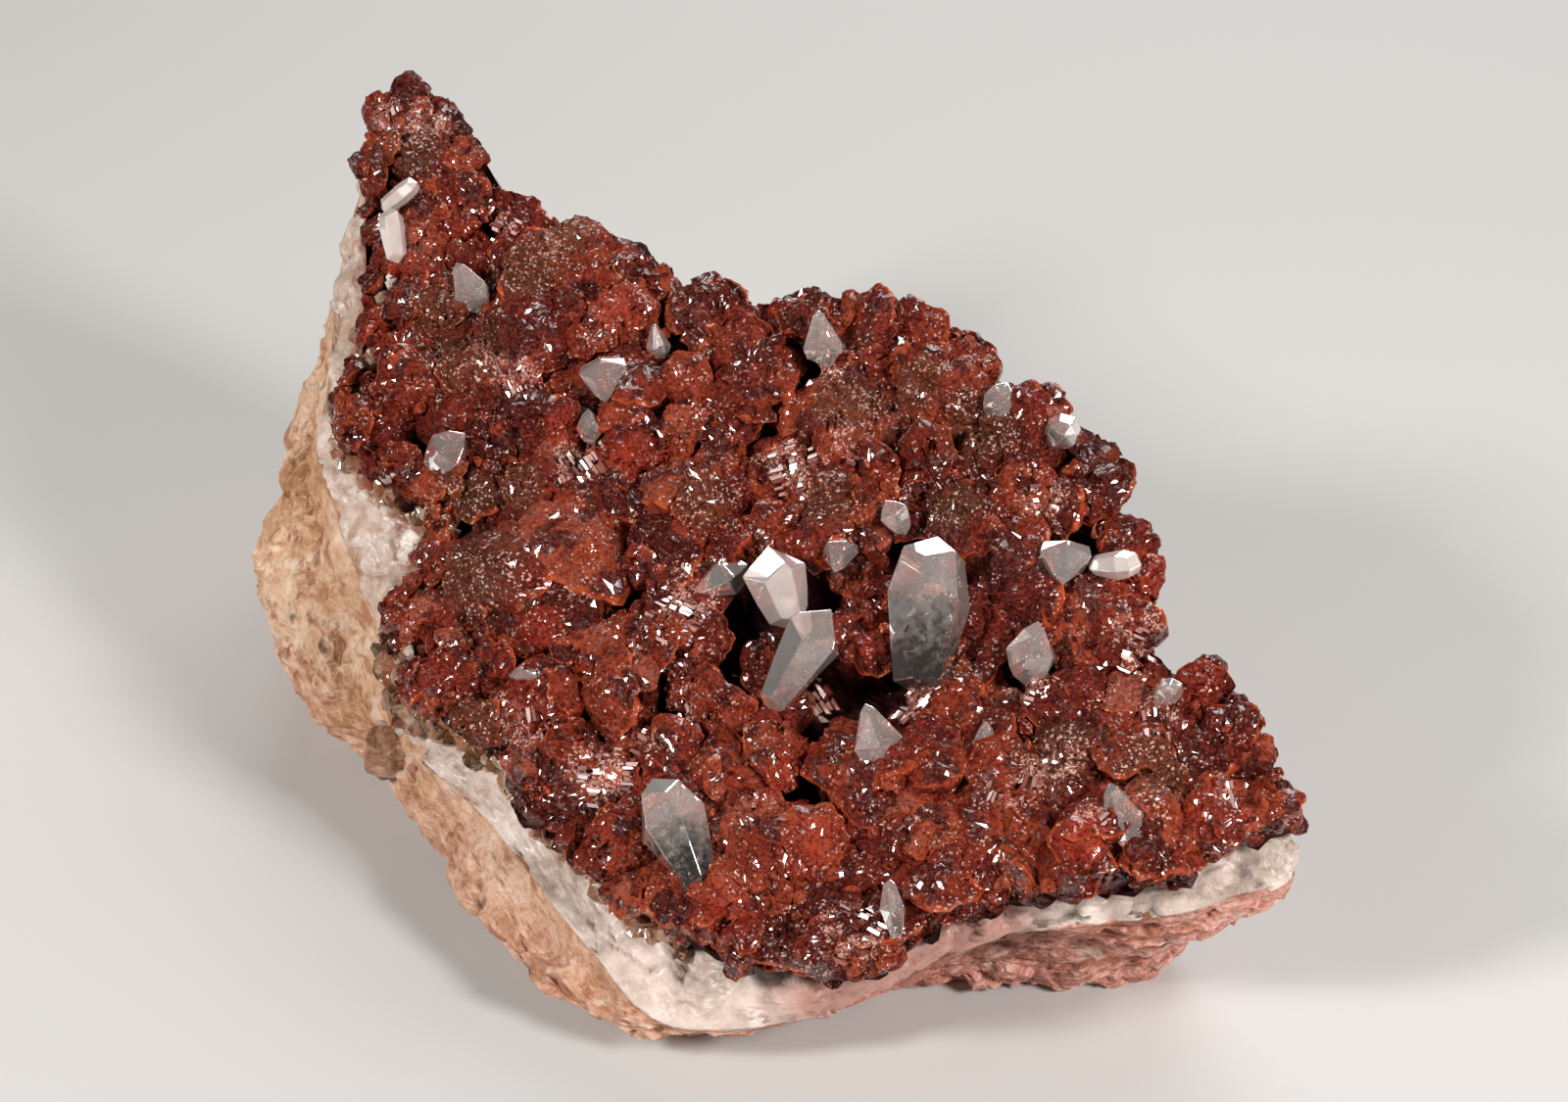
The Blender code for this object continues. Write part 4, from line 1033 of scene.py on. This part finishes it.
def crust_bed(crust, look):
    """The crust's body under the lenses: shares of the outline from its hub, then an undercut wall.

    The surface lies a little under the lenses' height and is broken by grains.
    """
    loop = smooth_loop(CRUST_OUTLINE, BED_SPOKES)
    shares = np.sqrt(np.linspace(0.0002, 1, BED_RINGS))
    flat = CRUST_HUB + shares[:, None, None] * (loop - CRUST_HUB)
    level = crust.height(flat.reshape(-1, 2)).reshape(flat.shape[:2]) - 1.2
    level = np.clip(level, PIT_LEVEL, HIGHEST_BED)
    level[-1] = np.minimum(level[-1], -0.2)
    top = np.concatenate([flat, level[..., None]], axis=-1)
    out = across_run(loop, 2)
    wall = [np.column_stack([loop - inset * out, np.full(BED_SPOKES, depth)])
            for inset, depth in ((0.2, -0.7), (0.5, -1.3), (0.9, CRUST_FLOOR))]
    rings = in_space(np.concatenate([top, np.array(wall)]))
    near, lift, slant = grains(rings, 0.9, 80)
    rings[1:-1] += ((0.5 * (lift - 0.5) - 0.3 * near + 0.5 * slant)[..., None] * SLAB_OUT)[1:-1]
    first = in_space([*CRUST_HUB, level[0].mean()])[None]
    last = in_space([*CRUST_HUB, CRUST_FLOOR])[None]
    places, faces = ringed(rings[None], first, last)
    tone = 0.5 + 0.5 * drift(places, 3, 9)
    blank = np.zeros(len(places))
    # The bed gets extra painted shade, as it lies under the lenses.
    values = crust_values(places, blank, blank, tone, 0.15)
    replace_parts(add_piece("roselite_bed", places, faces, look, "crust", **values), "roselite_crust")


def plate_fans(crust, look):
    """Ladders of small parallel bars, all facing between the eye and the light.

    The bars of a fan stand in rows along its turn and columns across it, each a little off its
    place and its facing, so that some flash and some don't.
    """
    random = draws("plates")
    spots, turns = [], []
    for x, y, long, wide, turn in PLATE_FANS:
        half = np.array([long, wide]) / PICTURE_SCALE
        rows, columns = np.maximum(2, (2 * half / BAR_SPACING).astype(int))
        a, b = np.meshgrid(np.linspace(-1, 1, rows), np.linspace(-1, 1, columns))
        grid = np.stack([a.ravel() * half[0], b.ravel() * half[1]], axis=-1)
        grid = grid[np.hypot(a, b).ravel() < 1.25] + random.normal(0, 0.05, 2)
        c, s = cos(radians(turn)), sin(radians(turn))
        spots.append(on_slab(x, y, 1.8) + grid @ np.array([[c, s], [-s, c]]))
        turns.append(np.full(len(grid), radians(turn) + pi / 2))
    spot, turn = np.concatenate(spots), np.concatenate(turns)
    spot = spot + random.normal(0, 0.06, spot.shape)
    count = len(spot)
    level = crust.height(spot) + 0.20 + random.uniform(-0.2, 0.25, count)
    glint = unit(unit(KEY_PLACE - in_space([0, 0, 0])) - SIGHT_FORWARD)
    normal = unit(glint + random.normal(0, 0.10, (count, 3)))
    long_axis = heading(turn) @ SLAB_AXES[:2]
    side = unit(np.cross(normal, long_axis))
    long_axis = np.cross(side, normal)
    kept = crust.carries(spot, 1.1)
    middle = raised(spot, level)
    half = [random.uniform(*size, count) for size in (BAR_HALF_LENGTH, BAR_HALF_WIDTH)]
    half = np.column_stack(half)
    corners = np.array([(1, 1), (-1, 1), (-1, -1), (1, -1)])
    corners = corners + random.uniform(-0.4, 0.4, (count, 4, 2))
    flat = corners * half[:, None]
    rim = middle[:, None] + flat[..., :1] * long_axis[:, None] + flat[..., 1:] * side[:, None]
    rings = np.stack([rim, rim - BAR_THICKNESS * normal[:, None]], axis=1)[kept]
    places, faces = ringed(rings, middle[kept], (middle - BAR_THICKNESS * normal)[kept])
    tone = np.repeat(random.uniform(0, 1, kept.sum()), len(places) // kept.sum())
    piece = add_piece("roselite_plates", places, faces, look, "crust", tone=tone)
    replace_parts(piece, "roselite_crust")


def stained_margin(look):
    """Broken glassy grains along the left edge, between the vein and the crust, as small lenses."""
    random = draws("stained")
    count = STAINED_GRAINS
    first, last = (share / len(CRUST_OUTLINE) for share in STAINED_SIDE)
    fine = smooth_loop(CRUST_OUTLINE, FINE_EDGE_STEPS)
    index = (random.uniform(first, last, count) * len(fine)).astype(int)
    out = across_run(fine, 20)[index]
    inset = random.uniform(-0.8, 1.9, count)
    spot = fine[index] - inset[:, None] * out
    level = -1.9 + 1.0 * np.clip(inset, -0.8, 1.2) + random.uniform(0, 0.7, count)
    facing = np.column_stack([out * random.uniform(0, 1.5, count)[:, None], np.ones(count)])
    normal = unit(facing + random.normal(0, 0.4, (count, 3))) @ SLAB_AXES
    radius = random.uniform(0.3, 0.95, count)
    middle = raised(spot, level)
    forms = lens_forms(middle, normal, radius, radius * 0.6, GRAIN_SPOKES, CHIP_TOPS, 39)
    places, faces = forms[:2]
    tone = np.clip(0.5 + 0.35 * drift(middle, 4, 44) + random.uniform(-0.35, 0.35, count), 0, 1)
    tone = np.repeat(tone, len(places) // count)
    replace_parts(add_piece("stained_margin", places, faces, look, "vein", tone=tone), "calcite_vein")


def calcite_chips(look):
    """Small white chips of calcite on the crust's edges, each a flat broken lens."""
    table = np.array(CALCITE_CHIPS, float)
    size = table[:, 2:4] / PICTURE_SCALE
    spot = on_slab(table[:, 0], table[:, 1], CHIP_LEVEL)
    random = draws("chips")
    count = len(table) * 3
    index = np.repeat(np.arange(len(table)), 3)
    along = heading(np.radians(table[index, 4]))
    step = np.tile([-0.6, 0.0, 0.6], len(table)) * size[index, 0]
    middle = raised(spot[index] + step[:, None] * along, np.full(count, CHIP_LEVEL))
    normal = unit(-SIGHT_FORWARD + SLAB_OUT + random.normal(0, 0.3, (count, 3)))
    radius = size[index].mean(axis=1) * random.uniform(0.5, 0.75, count)
    forms = lens_forms(middle, normal, radius, radius * 0.5, CHIP_SPOKES, CHIP_TOPS, 40)
    places, faces = forms[:2]
    blank = np.zeros(len(places))
    values = {"rust": blank, "near": blank, "rosy": blank}
    piece = add_piece("calcite_chips", places, faces, look, "vein", **values)
    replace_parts(piece, "calcite_vein")


# Vein and rock

def grid_normals(grid):
    """Unit normals of a grid (rings, spokes, 3) that closes round its spokes."""
    down = np.gradient(grid, axis=0)
    round_ = np.roll(grid, -1, axis=1) - np.roll(grid, 1, axis=1)
    return unit(np.cross(down, round_) + 1e-12)


def between(rings, steps):
    """Rings of a wall: smooth curves down the given rings, read at equal steps of their number."""
    knots = np.concatenate([[2 * rings[0] - rings[1]], rings, [2 * rings[-1] - rings[-2]]])
    place = np.linspace(0, len(rings) - 1, steps)
    index = np.minimum(place.astype(int), len(rings) - 2)
    return curve_at((place - index)[:, None, None], *(knots[index + k] for k in range(4)))


def tucked(ring, depth):
    """The ring drawn in by TUCK and laid flat at a height over the slab, behind the seam."""
    inner = ring - TUCK * np.column_stack([across_run(ring, 2), np.zeros(len(ring))])
    return inner - np.outer((inner - SLAB_MIDDLE) @ SLAB_OUT - depth, SLAB_OUT)


def wall_rings():
    """The four rings of the walls in space: crust's floor, vein's edge, rock's belly and foot."""
    top = smooth_loop(VEIN_TOP, WALL_SPOKES)
    top = raised(top, np.full(WALL_SPOKES, CRUST_FLOOR))
    return [top] + [smooth_loop(ring, WALL_SPOKES) for ring in (VEIN_EDGE, ROCK_BELLY, ROCK_FOOT)]


def vein(look):
    """The seam's wall, lofted from the crust's floor to its lower edge, broken in curved chips."""
    top, edge, *_ = wall_rings()
    wall = between(np.array([top, edge]), VEIN_STEPS)
    normal = grid_normals(wall)
    _, lift, slant = grains(wall, 3.0, 120)
    _, chip, lean = grains(wall, 1.1, 130)
    push = 0.45 * (lift - 0.5) + 1.1 * slant + 0.15 * (chip - 0.5) + 0.5 * lean
    push += 0.3 * rough(wall, 3.0, 140)
    calm = np.minimum(1, np.linspace(0.2, 3, VEIN_STEPS))[:, None]
    wall = wall + (push * calm)[..., None] * normal
    inner = tucked(wall[-1], CRUST_FLOOR - VEIN_DEPTH)
    rings = np.concatenate([wall, inner[None]])
    first = in_space([*CRUST_HUB, CRUST_FLOOR])[None]
    last = inner.mean(axis=0)[None]
    places, faces = ringed(rings[None], first, last)
    near_crust = np.broadcast_to(np.linspace(1, 0, len(rings))[:, None], rings.shape[:2])[None]
    left = np.clip((-12 - rings[..., 0]) / 10, 0, 1)[None]
    rosy = np.clip((rings[..., 0] + 3) / 5, 0, 1) * np.clip((18 - rings[..., 0]) / 5, 0, 1)
    rosy = (rosy * (rings[..., 1] < -35))[None]
    values = {"near": ringed_values(near_crust, 1.0, 0.0), "rust": ringed_values(left, 0.0, 0.0),
              "rosy": ringed_values(rosy, 0.0, 0.0)}
    piece = add_piece("calcite_seam", places, faces, look, "vein", smooth=True, **values)
    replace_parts(piece, "calcite_vein")


def rock(look):
    """The rock's wall, lofted down four rings, with ledges along its bedding and broken grains."""
    _, edge, belly, foot = wall_rings()
    base = foot - FOOT_INSET * np.column_stack([across_run(foot, 2), np.zeros(len(foot))])
    base[:, 2] = 0
    wall = between(np.array([edge, belly, foot, base]), ROCK_STEPS)
    normal = grid_normals(wall)
    bed = wall @ SLAB_OUT / BED_THICKNESS + 0.8 * rough(wall, 6.0, 150)
    ledge = np.abs(bed % 1 - 0.35)
    _, lift, slant = grains(wall, 2.8, 160)
    _, chip, lean = grains(wall, 1.2, 165)
    fine_near, fine, _ = grains(wall, 0.5, 170)
    push = 0.35 * ledge * (1 + drift(wall, 5, 175)) + 0.8 * rough(wall, 6.0, 180)
    push += 0.35 * (lift - 0.5) + 0.9 * slant + 0.2 * (chip - 0.5) + 0.5 * lean
    push += 0.14 * (fine - 0.5) - 0.08 * fine_near
    share = np.linspace(0, 1, ROCK_STEPS)[:, None]
    calm = np.minimum(1, share * 8) * np.clip((1 - share) * 5, 0, 1)
    wall = wall + (push * calm)[..., None] * normal
    wall[..., 2] = np.maximum(wall[..., 2], 0)
    inner = tucked(wall[0], CRUST_FLOOR - VEIN_DEPTH - 0.2)
    rings = np.concatenate([inner[None], wall])
    places, faces = ringed(rings[None], inner.mean(axis=0)[None], base.mean(axis=0)[None])
    spread = 9 + 16 * np.clip((places[:, 1] + 42) / 15, 0, 1)
    salmon = np.clip((places[:, 0] + 6 + 0.35 * spread * rough(places, 9, 190)) / spread, 0, 1)
    salmon = np.maximum(salmon, 0.4 * np.clip((10 - places[:, 2]) / 6, 0, 1))
    # Dark patch low on the front right wall, under the bulge: painted shade where the undercut's
    # shadow falls.
    patch = np.hypot((places[:, 0] - 12) / 7, (places[:, 2] - 7) / 3.6)
    patch = patch + 0.4 * rough(places, 3, 195)
    dark = 0.55 * np.clip(1.3 - patch, 0, 1) * (places[:, 1] < -40)
    piece = add_piece("host_rock", places, faces, look, "rock", salmon=salmon, dark=dark)
    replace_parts(piece, "matrix_rock")


def knobs(look):
    """Blocky broken knobs on the rock: rounded squares whose lower rings are drawn to a point."""
    steps, spokes = 14, 26
    share = np.linspace(0.06, 0.98, steps)[None, :, None]
    angle = 2 * pi * np.arange(spokes) / spokes
    middle = np.array([row[0] for row in ROCK_KNOBS])
    half = np.array([row[1] for row in ROCK_KNOBS])[:, None, None]
    point = np.array([row[2] for row in ROCK_KNOBS])[:, None, None]
    full = np.sin(pi * share) ** 0.45 * (1 + (point - 1) * share)
    square = 1 / np.maximum(np.abs(np.cos(angle)), np.abs(np.sin(angle))) ** 0.7
    reach = full * square
    level = np.broadcast_to(np.cos(pi * share), reach.shape)
    rings = np.stack([reach * np.cos(angle), reach * np.sin(angle), level], axis=-1) * half
    rings = rings + middle[:, None, None]
    _, lift, slant = grains(rings, 1.1, 200)
    out = unit(rings - middle[:, None, None])
    rings = rings + (0.3 * (lift - 0.5) + 1.0 * slant)[..., None] * out
    rings[..., 2] = np.maximum(rings[..., 2], 0)
    ends = [rings[:, 0].mean(axis=1), rings[:, -1].mean(axis=1)]
    places, faces = ringed(rings, *ends)
    each = len(places) // len(middle)
    dark = np.repeat([0.15, 0.2, 0.1, 0.35], each)
    salmon = np.repeat([1.0, 1.0, 0.2, 0.2], each)
    piece = add_piece("rock_knobs", places, faces, look, "rock", salmon=salmon, dark=dark)
    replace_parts(piece, "matrix_rock")


# Calcite crystals

def crystal_frame(row):
    """Middle, length, half width and the three axes of a crystal, in slab places."""
    _, x, y, long, wide, turned, leaned, height, *_ = row
    turn, lean = radians(turned), radians(leaned)
    along = np.array([cos(lean) * cos(turn), cos(lean) * sin(turn), sin(lean)])
    side = np.array([-sin(turn), cos(turn), 0])
    middle = np.array([*on_slab(x, y, height), height])
    length, half = long / PICTURE_SCALE, wide / PICTURE_SCALE / 2
    return middle, length, half, np.array([along, side, np.cross(along, side)])


def crystal(row):
    """A six-sided crystal with a three-faced roof on its end, and another on its root.

    Rings of corners stand at shares of the length. On a roof's ring every other corner lies half
    way up to the tip, so that pairs of triangles fall in one plane and read as three faces.
    """
    name = row[0]
    dark, milk, waist, tip, foot, steep, roll = row[8:]
    middle, length, half, axes = crystal_frame(row)
    random = np.random.default_rng(int(row[1] * 7 + row[2]))
    pitch = steep * half / length
    shares = np.array([-0.5 + 0.85 * foot * pitch, (waist - 0.42) / 2, waist, 0.5 - tip * pitch])
    reach = np.array([foot, 0.5 * foot + 0.5, 1.0, tip])
    rise = np.array([-0.2 * foot * pitch, -0.02, 0.03, 0.25 * tip * pitch])
    odd = (-1.0) ** np.arange(6)
    uneven = (1 + 0.05 * odd) * (1 + random.uniform(-0.06, 0.06, 6))
    angle = 2 * pi * np.arange(6) / 6 + radians(roll)
    level = length * (shares[:, None] + rise[:, None] * odd)
    across = half * reach[:, None] * uneven
    local = [level, across * np.cos(angle), FLATNESS * across * np.sin(angle)]
    local = np.stack(local, axis=-1)
    points = middle + local @ axes
    points[..., 2] = np.maximum(points[..., 2], CRYSTAL_FOOT)
    ends = middle + np.array([[-0.52], [0.5]]) * length * axes[0]
    ends[:, 2] = np.maximum(ends[:, 2], CRYSTAL_FOOT - 0.05)
    places, faces = ringed(in_space(points)[None], in_space(ends[:1]), in_space(ends[1:]))
    root = ringed_values(np.broadcast_to(0.5 - 0.9 * shares[:, None], (4, 6))[None], 1.0, 0.1)
    number = name[-2:]
    look = clear_look("clear_calcite_" + number, dark, milk)
    piece = add_piece("calcite_point_" + number, places, faces, look, "clear_calcite", root=root)
    bevel = piece.modifiers.new("worn edges", "BEVEL")
    bevel.width = WORN_EDGE * MM
    bevel.segments = 2
    bevel.limit_method = "ANGLE"
    bevel.angle_limit = radians(12)
    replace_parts(piece, name)


def flake_look():
    """Dark and pale specks of matter shut in the crystals."""
    look = Look("shut_in_flakes", Roughness=0.5)
    look.feed("Base Color", look.ramp(look.value("tone"), [
        (0.55, (0.012, 0.009, 0.006)), (0.75, (0.070, 0.050, 0.034)), (0.95, (0.50, 0.42, 0.35)),
    ]))
    return look.material


def veils(look):
    """Clouds of small flakes in the root halves of the smoky crystals, each a tiny flat lens."""
    random = draws("flakes")
    middles, sizes = [], []
    for row in CRYSTALS:
        if row[0] not in VEILED:
            continue
        count = int(row[3] * FLAKES_PER_PIXEL)
        middle, length, half, axes = crystal_frame(row)
        level = random.uniform(-0.40, 0.06, count) + 0.05 * random.normal(0, 1, count)
        level = np.clip(level, -0.42, 0.14)
        angle = random.uniform(0, 2 * pi, count)
        narrow = np.clip(1 - 0.9 * np.abs(level), 0, 1)
        wide = 0.72 * half * np.sqrt(random.uniform(0, 1, count)) * narrow
        local = np.column_stack([level * length, wide * np.cos(angle), 0.8 * wide * np.sin(angle)])
        middles.append(middle + local @ axes)
        sizes.append(0.06 + 0.34 * random.uniform(0, 1, count) ** 2)
    middle, radius = in_space(np.concatenate(middles)), np.concatenate(sizes)
    normal = unit(random.normal(0, 1, middle.shape))
    forms = lens_forms(middle, normal, radius, radius * 0.2, FLAKE_SPOKES, FLAKE_TOPS, 42)
    places, faces = forms[:2]
    tone = np.repeat(random.uniform(0, 1, len(radius)), len(places) // len(radius))
    add_piece("shut_in_flakes", places, faces, look, "clear_calcite", tone=tone)


# Light, floor and camera

def area_light(name, place, size, power, colour):
    """A square lamp at a place in millimetres of the design, facing the specimen."""
    lamp = bpy.data.lights.new(name, "AREA")
    lamp.shape = "SQUARE"
    lamp.size = size * MM
    lamp.energy = power
    lamp.color = colour
    holder = bpy.data.objects.new(name, lamp)
    bpy.context.scene.collection.objects.link(holder)
    spot = (np.array(place) - FOOTPRINT_MIDDLE) * MM
    aim = (LIGHT_TARGET - FOOTPRINT_MIDDLE) * MM
    holder.location = spot
    holder.rotation_euler = Vector(aim - spot).to_track_quat("-Z", "Y").to_euler()


def studio():
    """A plain pale floor, lamps at the left front, at the right and large behind, a dim world."""
    bpy.ops.mesh.primitive_plane_add(size=FLOOR_SIZE, location=(0, 0, 0))
    floor = bpy.context.object
    floor.name = "floor"
    look = Look("pale_floor", Roughness=0.6)
    tone = look.noise(look.place(), 900, 2.0)
    look.feed("Base Color", look.ramp(tone, [(0.3, (0.60, 0.59, 0.58)), (0.7, (0.64, 0.63, 0.62))]))
    floor.data.materials.append(look.material)
    for lamp in LAMPS:
        area_light(*lamp)
    world = bpy.data.worlds.new("studio")
    world.use_nodes = True
    colour, strength = world.node_tree.nodes["Background"].inputs[:2]
    colour.default_value = WORLD_COLOUR
    strength.default_value = WORLD_STRENGTH
    bpy.context.scene.world = world


def camera():
    """The photograph's view: down the sight line from its eye, with its lens."""
    data = bpy.data.cameras.new("camera")
    data.lens = LENS
    data.sensor_width = SENSOR_WIDTH
    data.clip_start = 0.01
    holder = bpy.data.objects.new("camera", data)
    bpy.context.scene.collection.objects.link(holder)
    axes = np.column_stack([[1.0, 0, 0], SIGHT_UP, -SIGHT_FORWARD])
    placed = Matrix(axes.tolist()).to_4x4()
    placed.translation = Vector((EYE - FOOTPRINT_MIDDLE) * MM)
    holder.matrix_world = placed
    bpy.context.scene.camera = holder


camera()
studio()
bpy.context.scene.view_settings.view_transform = "Standard"
crust = Crust()
drusy = crust_look()
stone = rock_look()
white = vein_look()
crust_bed(crust, drusy)
lenses(crust, drusy)
leaves = satellites(crust, each=2, reach=(0.60, 1.0), size=(0.42, 0.70), lean=(0.1, 0.8), seed=22)
leaning_lenses(drusy, "roselite_leaves", leaves, LEAF_SPOKES, LEAF_TOPS, seed=22)
petals = satellites(crust, each=7, reach=(0.15, 1.10), size=(0.14, 0.34), lean=(-0.6, 0.9), seed=28)
leaning_lenses(drusy, "roselite_petals", petals, PETAL_SPOKES, PETAL_TOPS, seed=28)
rim_lenses(drusy)
plate_fans(crust, plate_look())
vein(white)
calcite_chips(white)
stained_margin(stain_look())
rock(stone)
knobs(stone)
for row in CRYSTALS:
    crystal(row)
veils(flake_look())
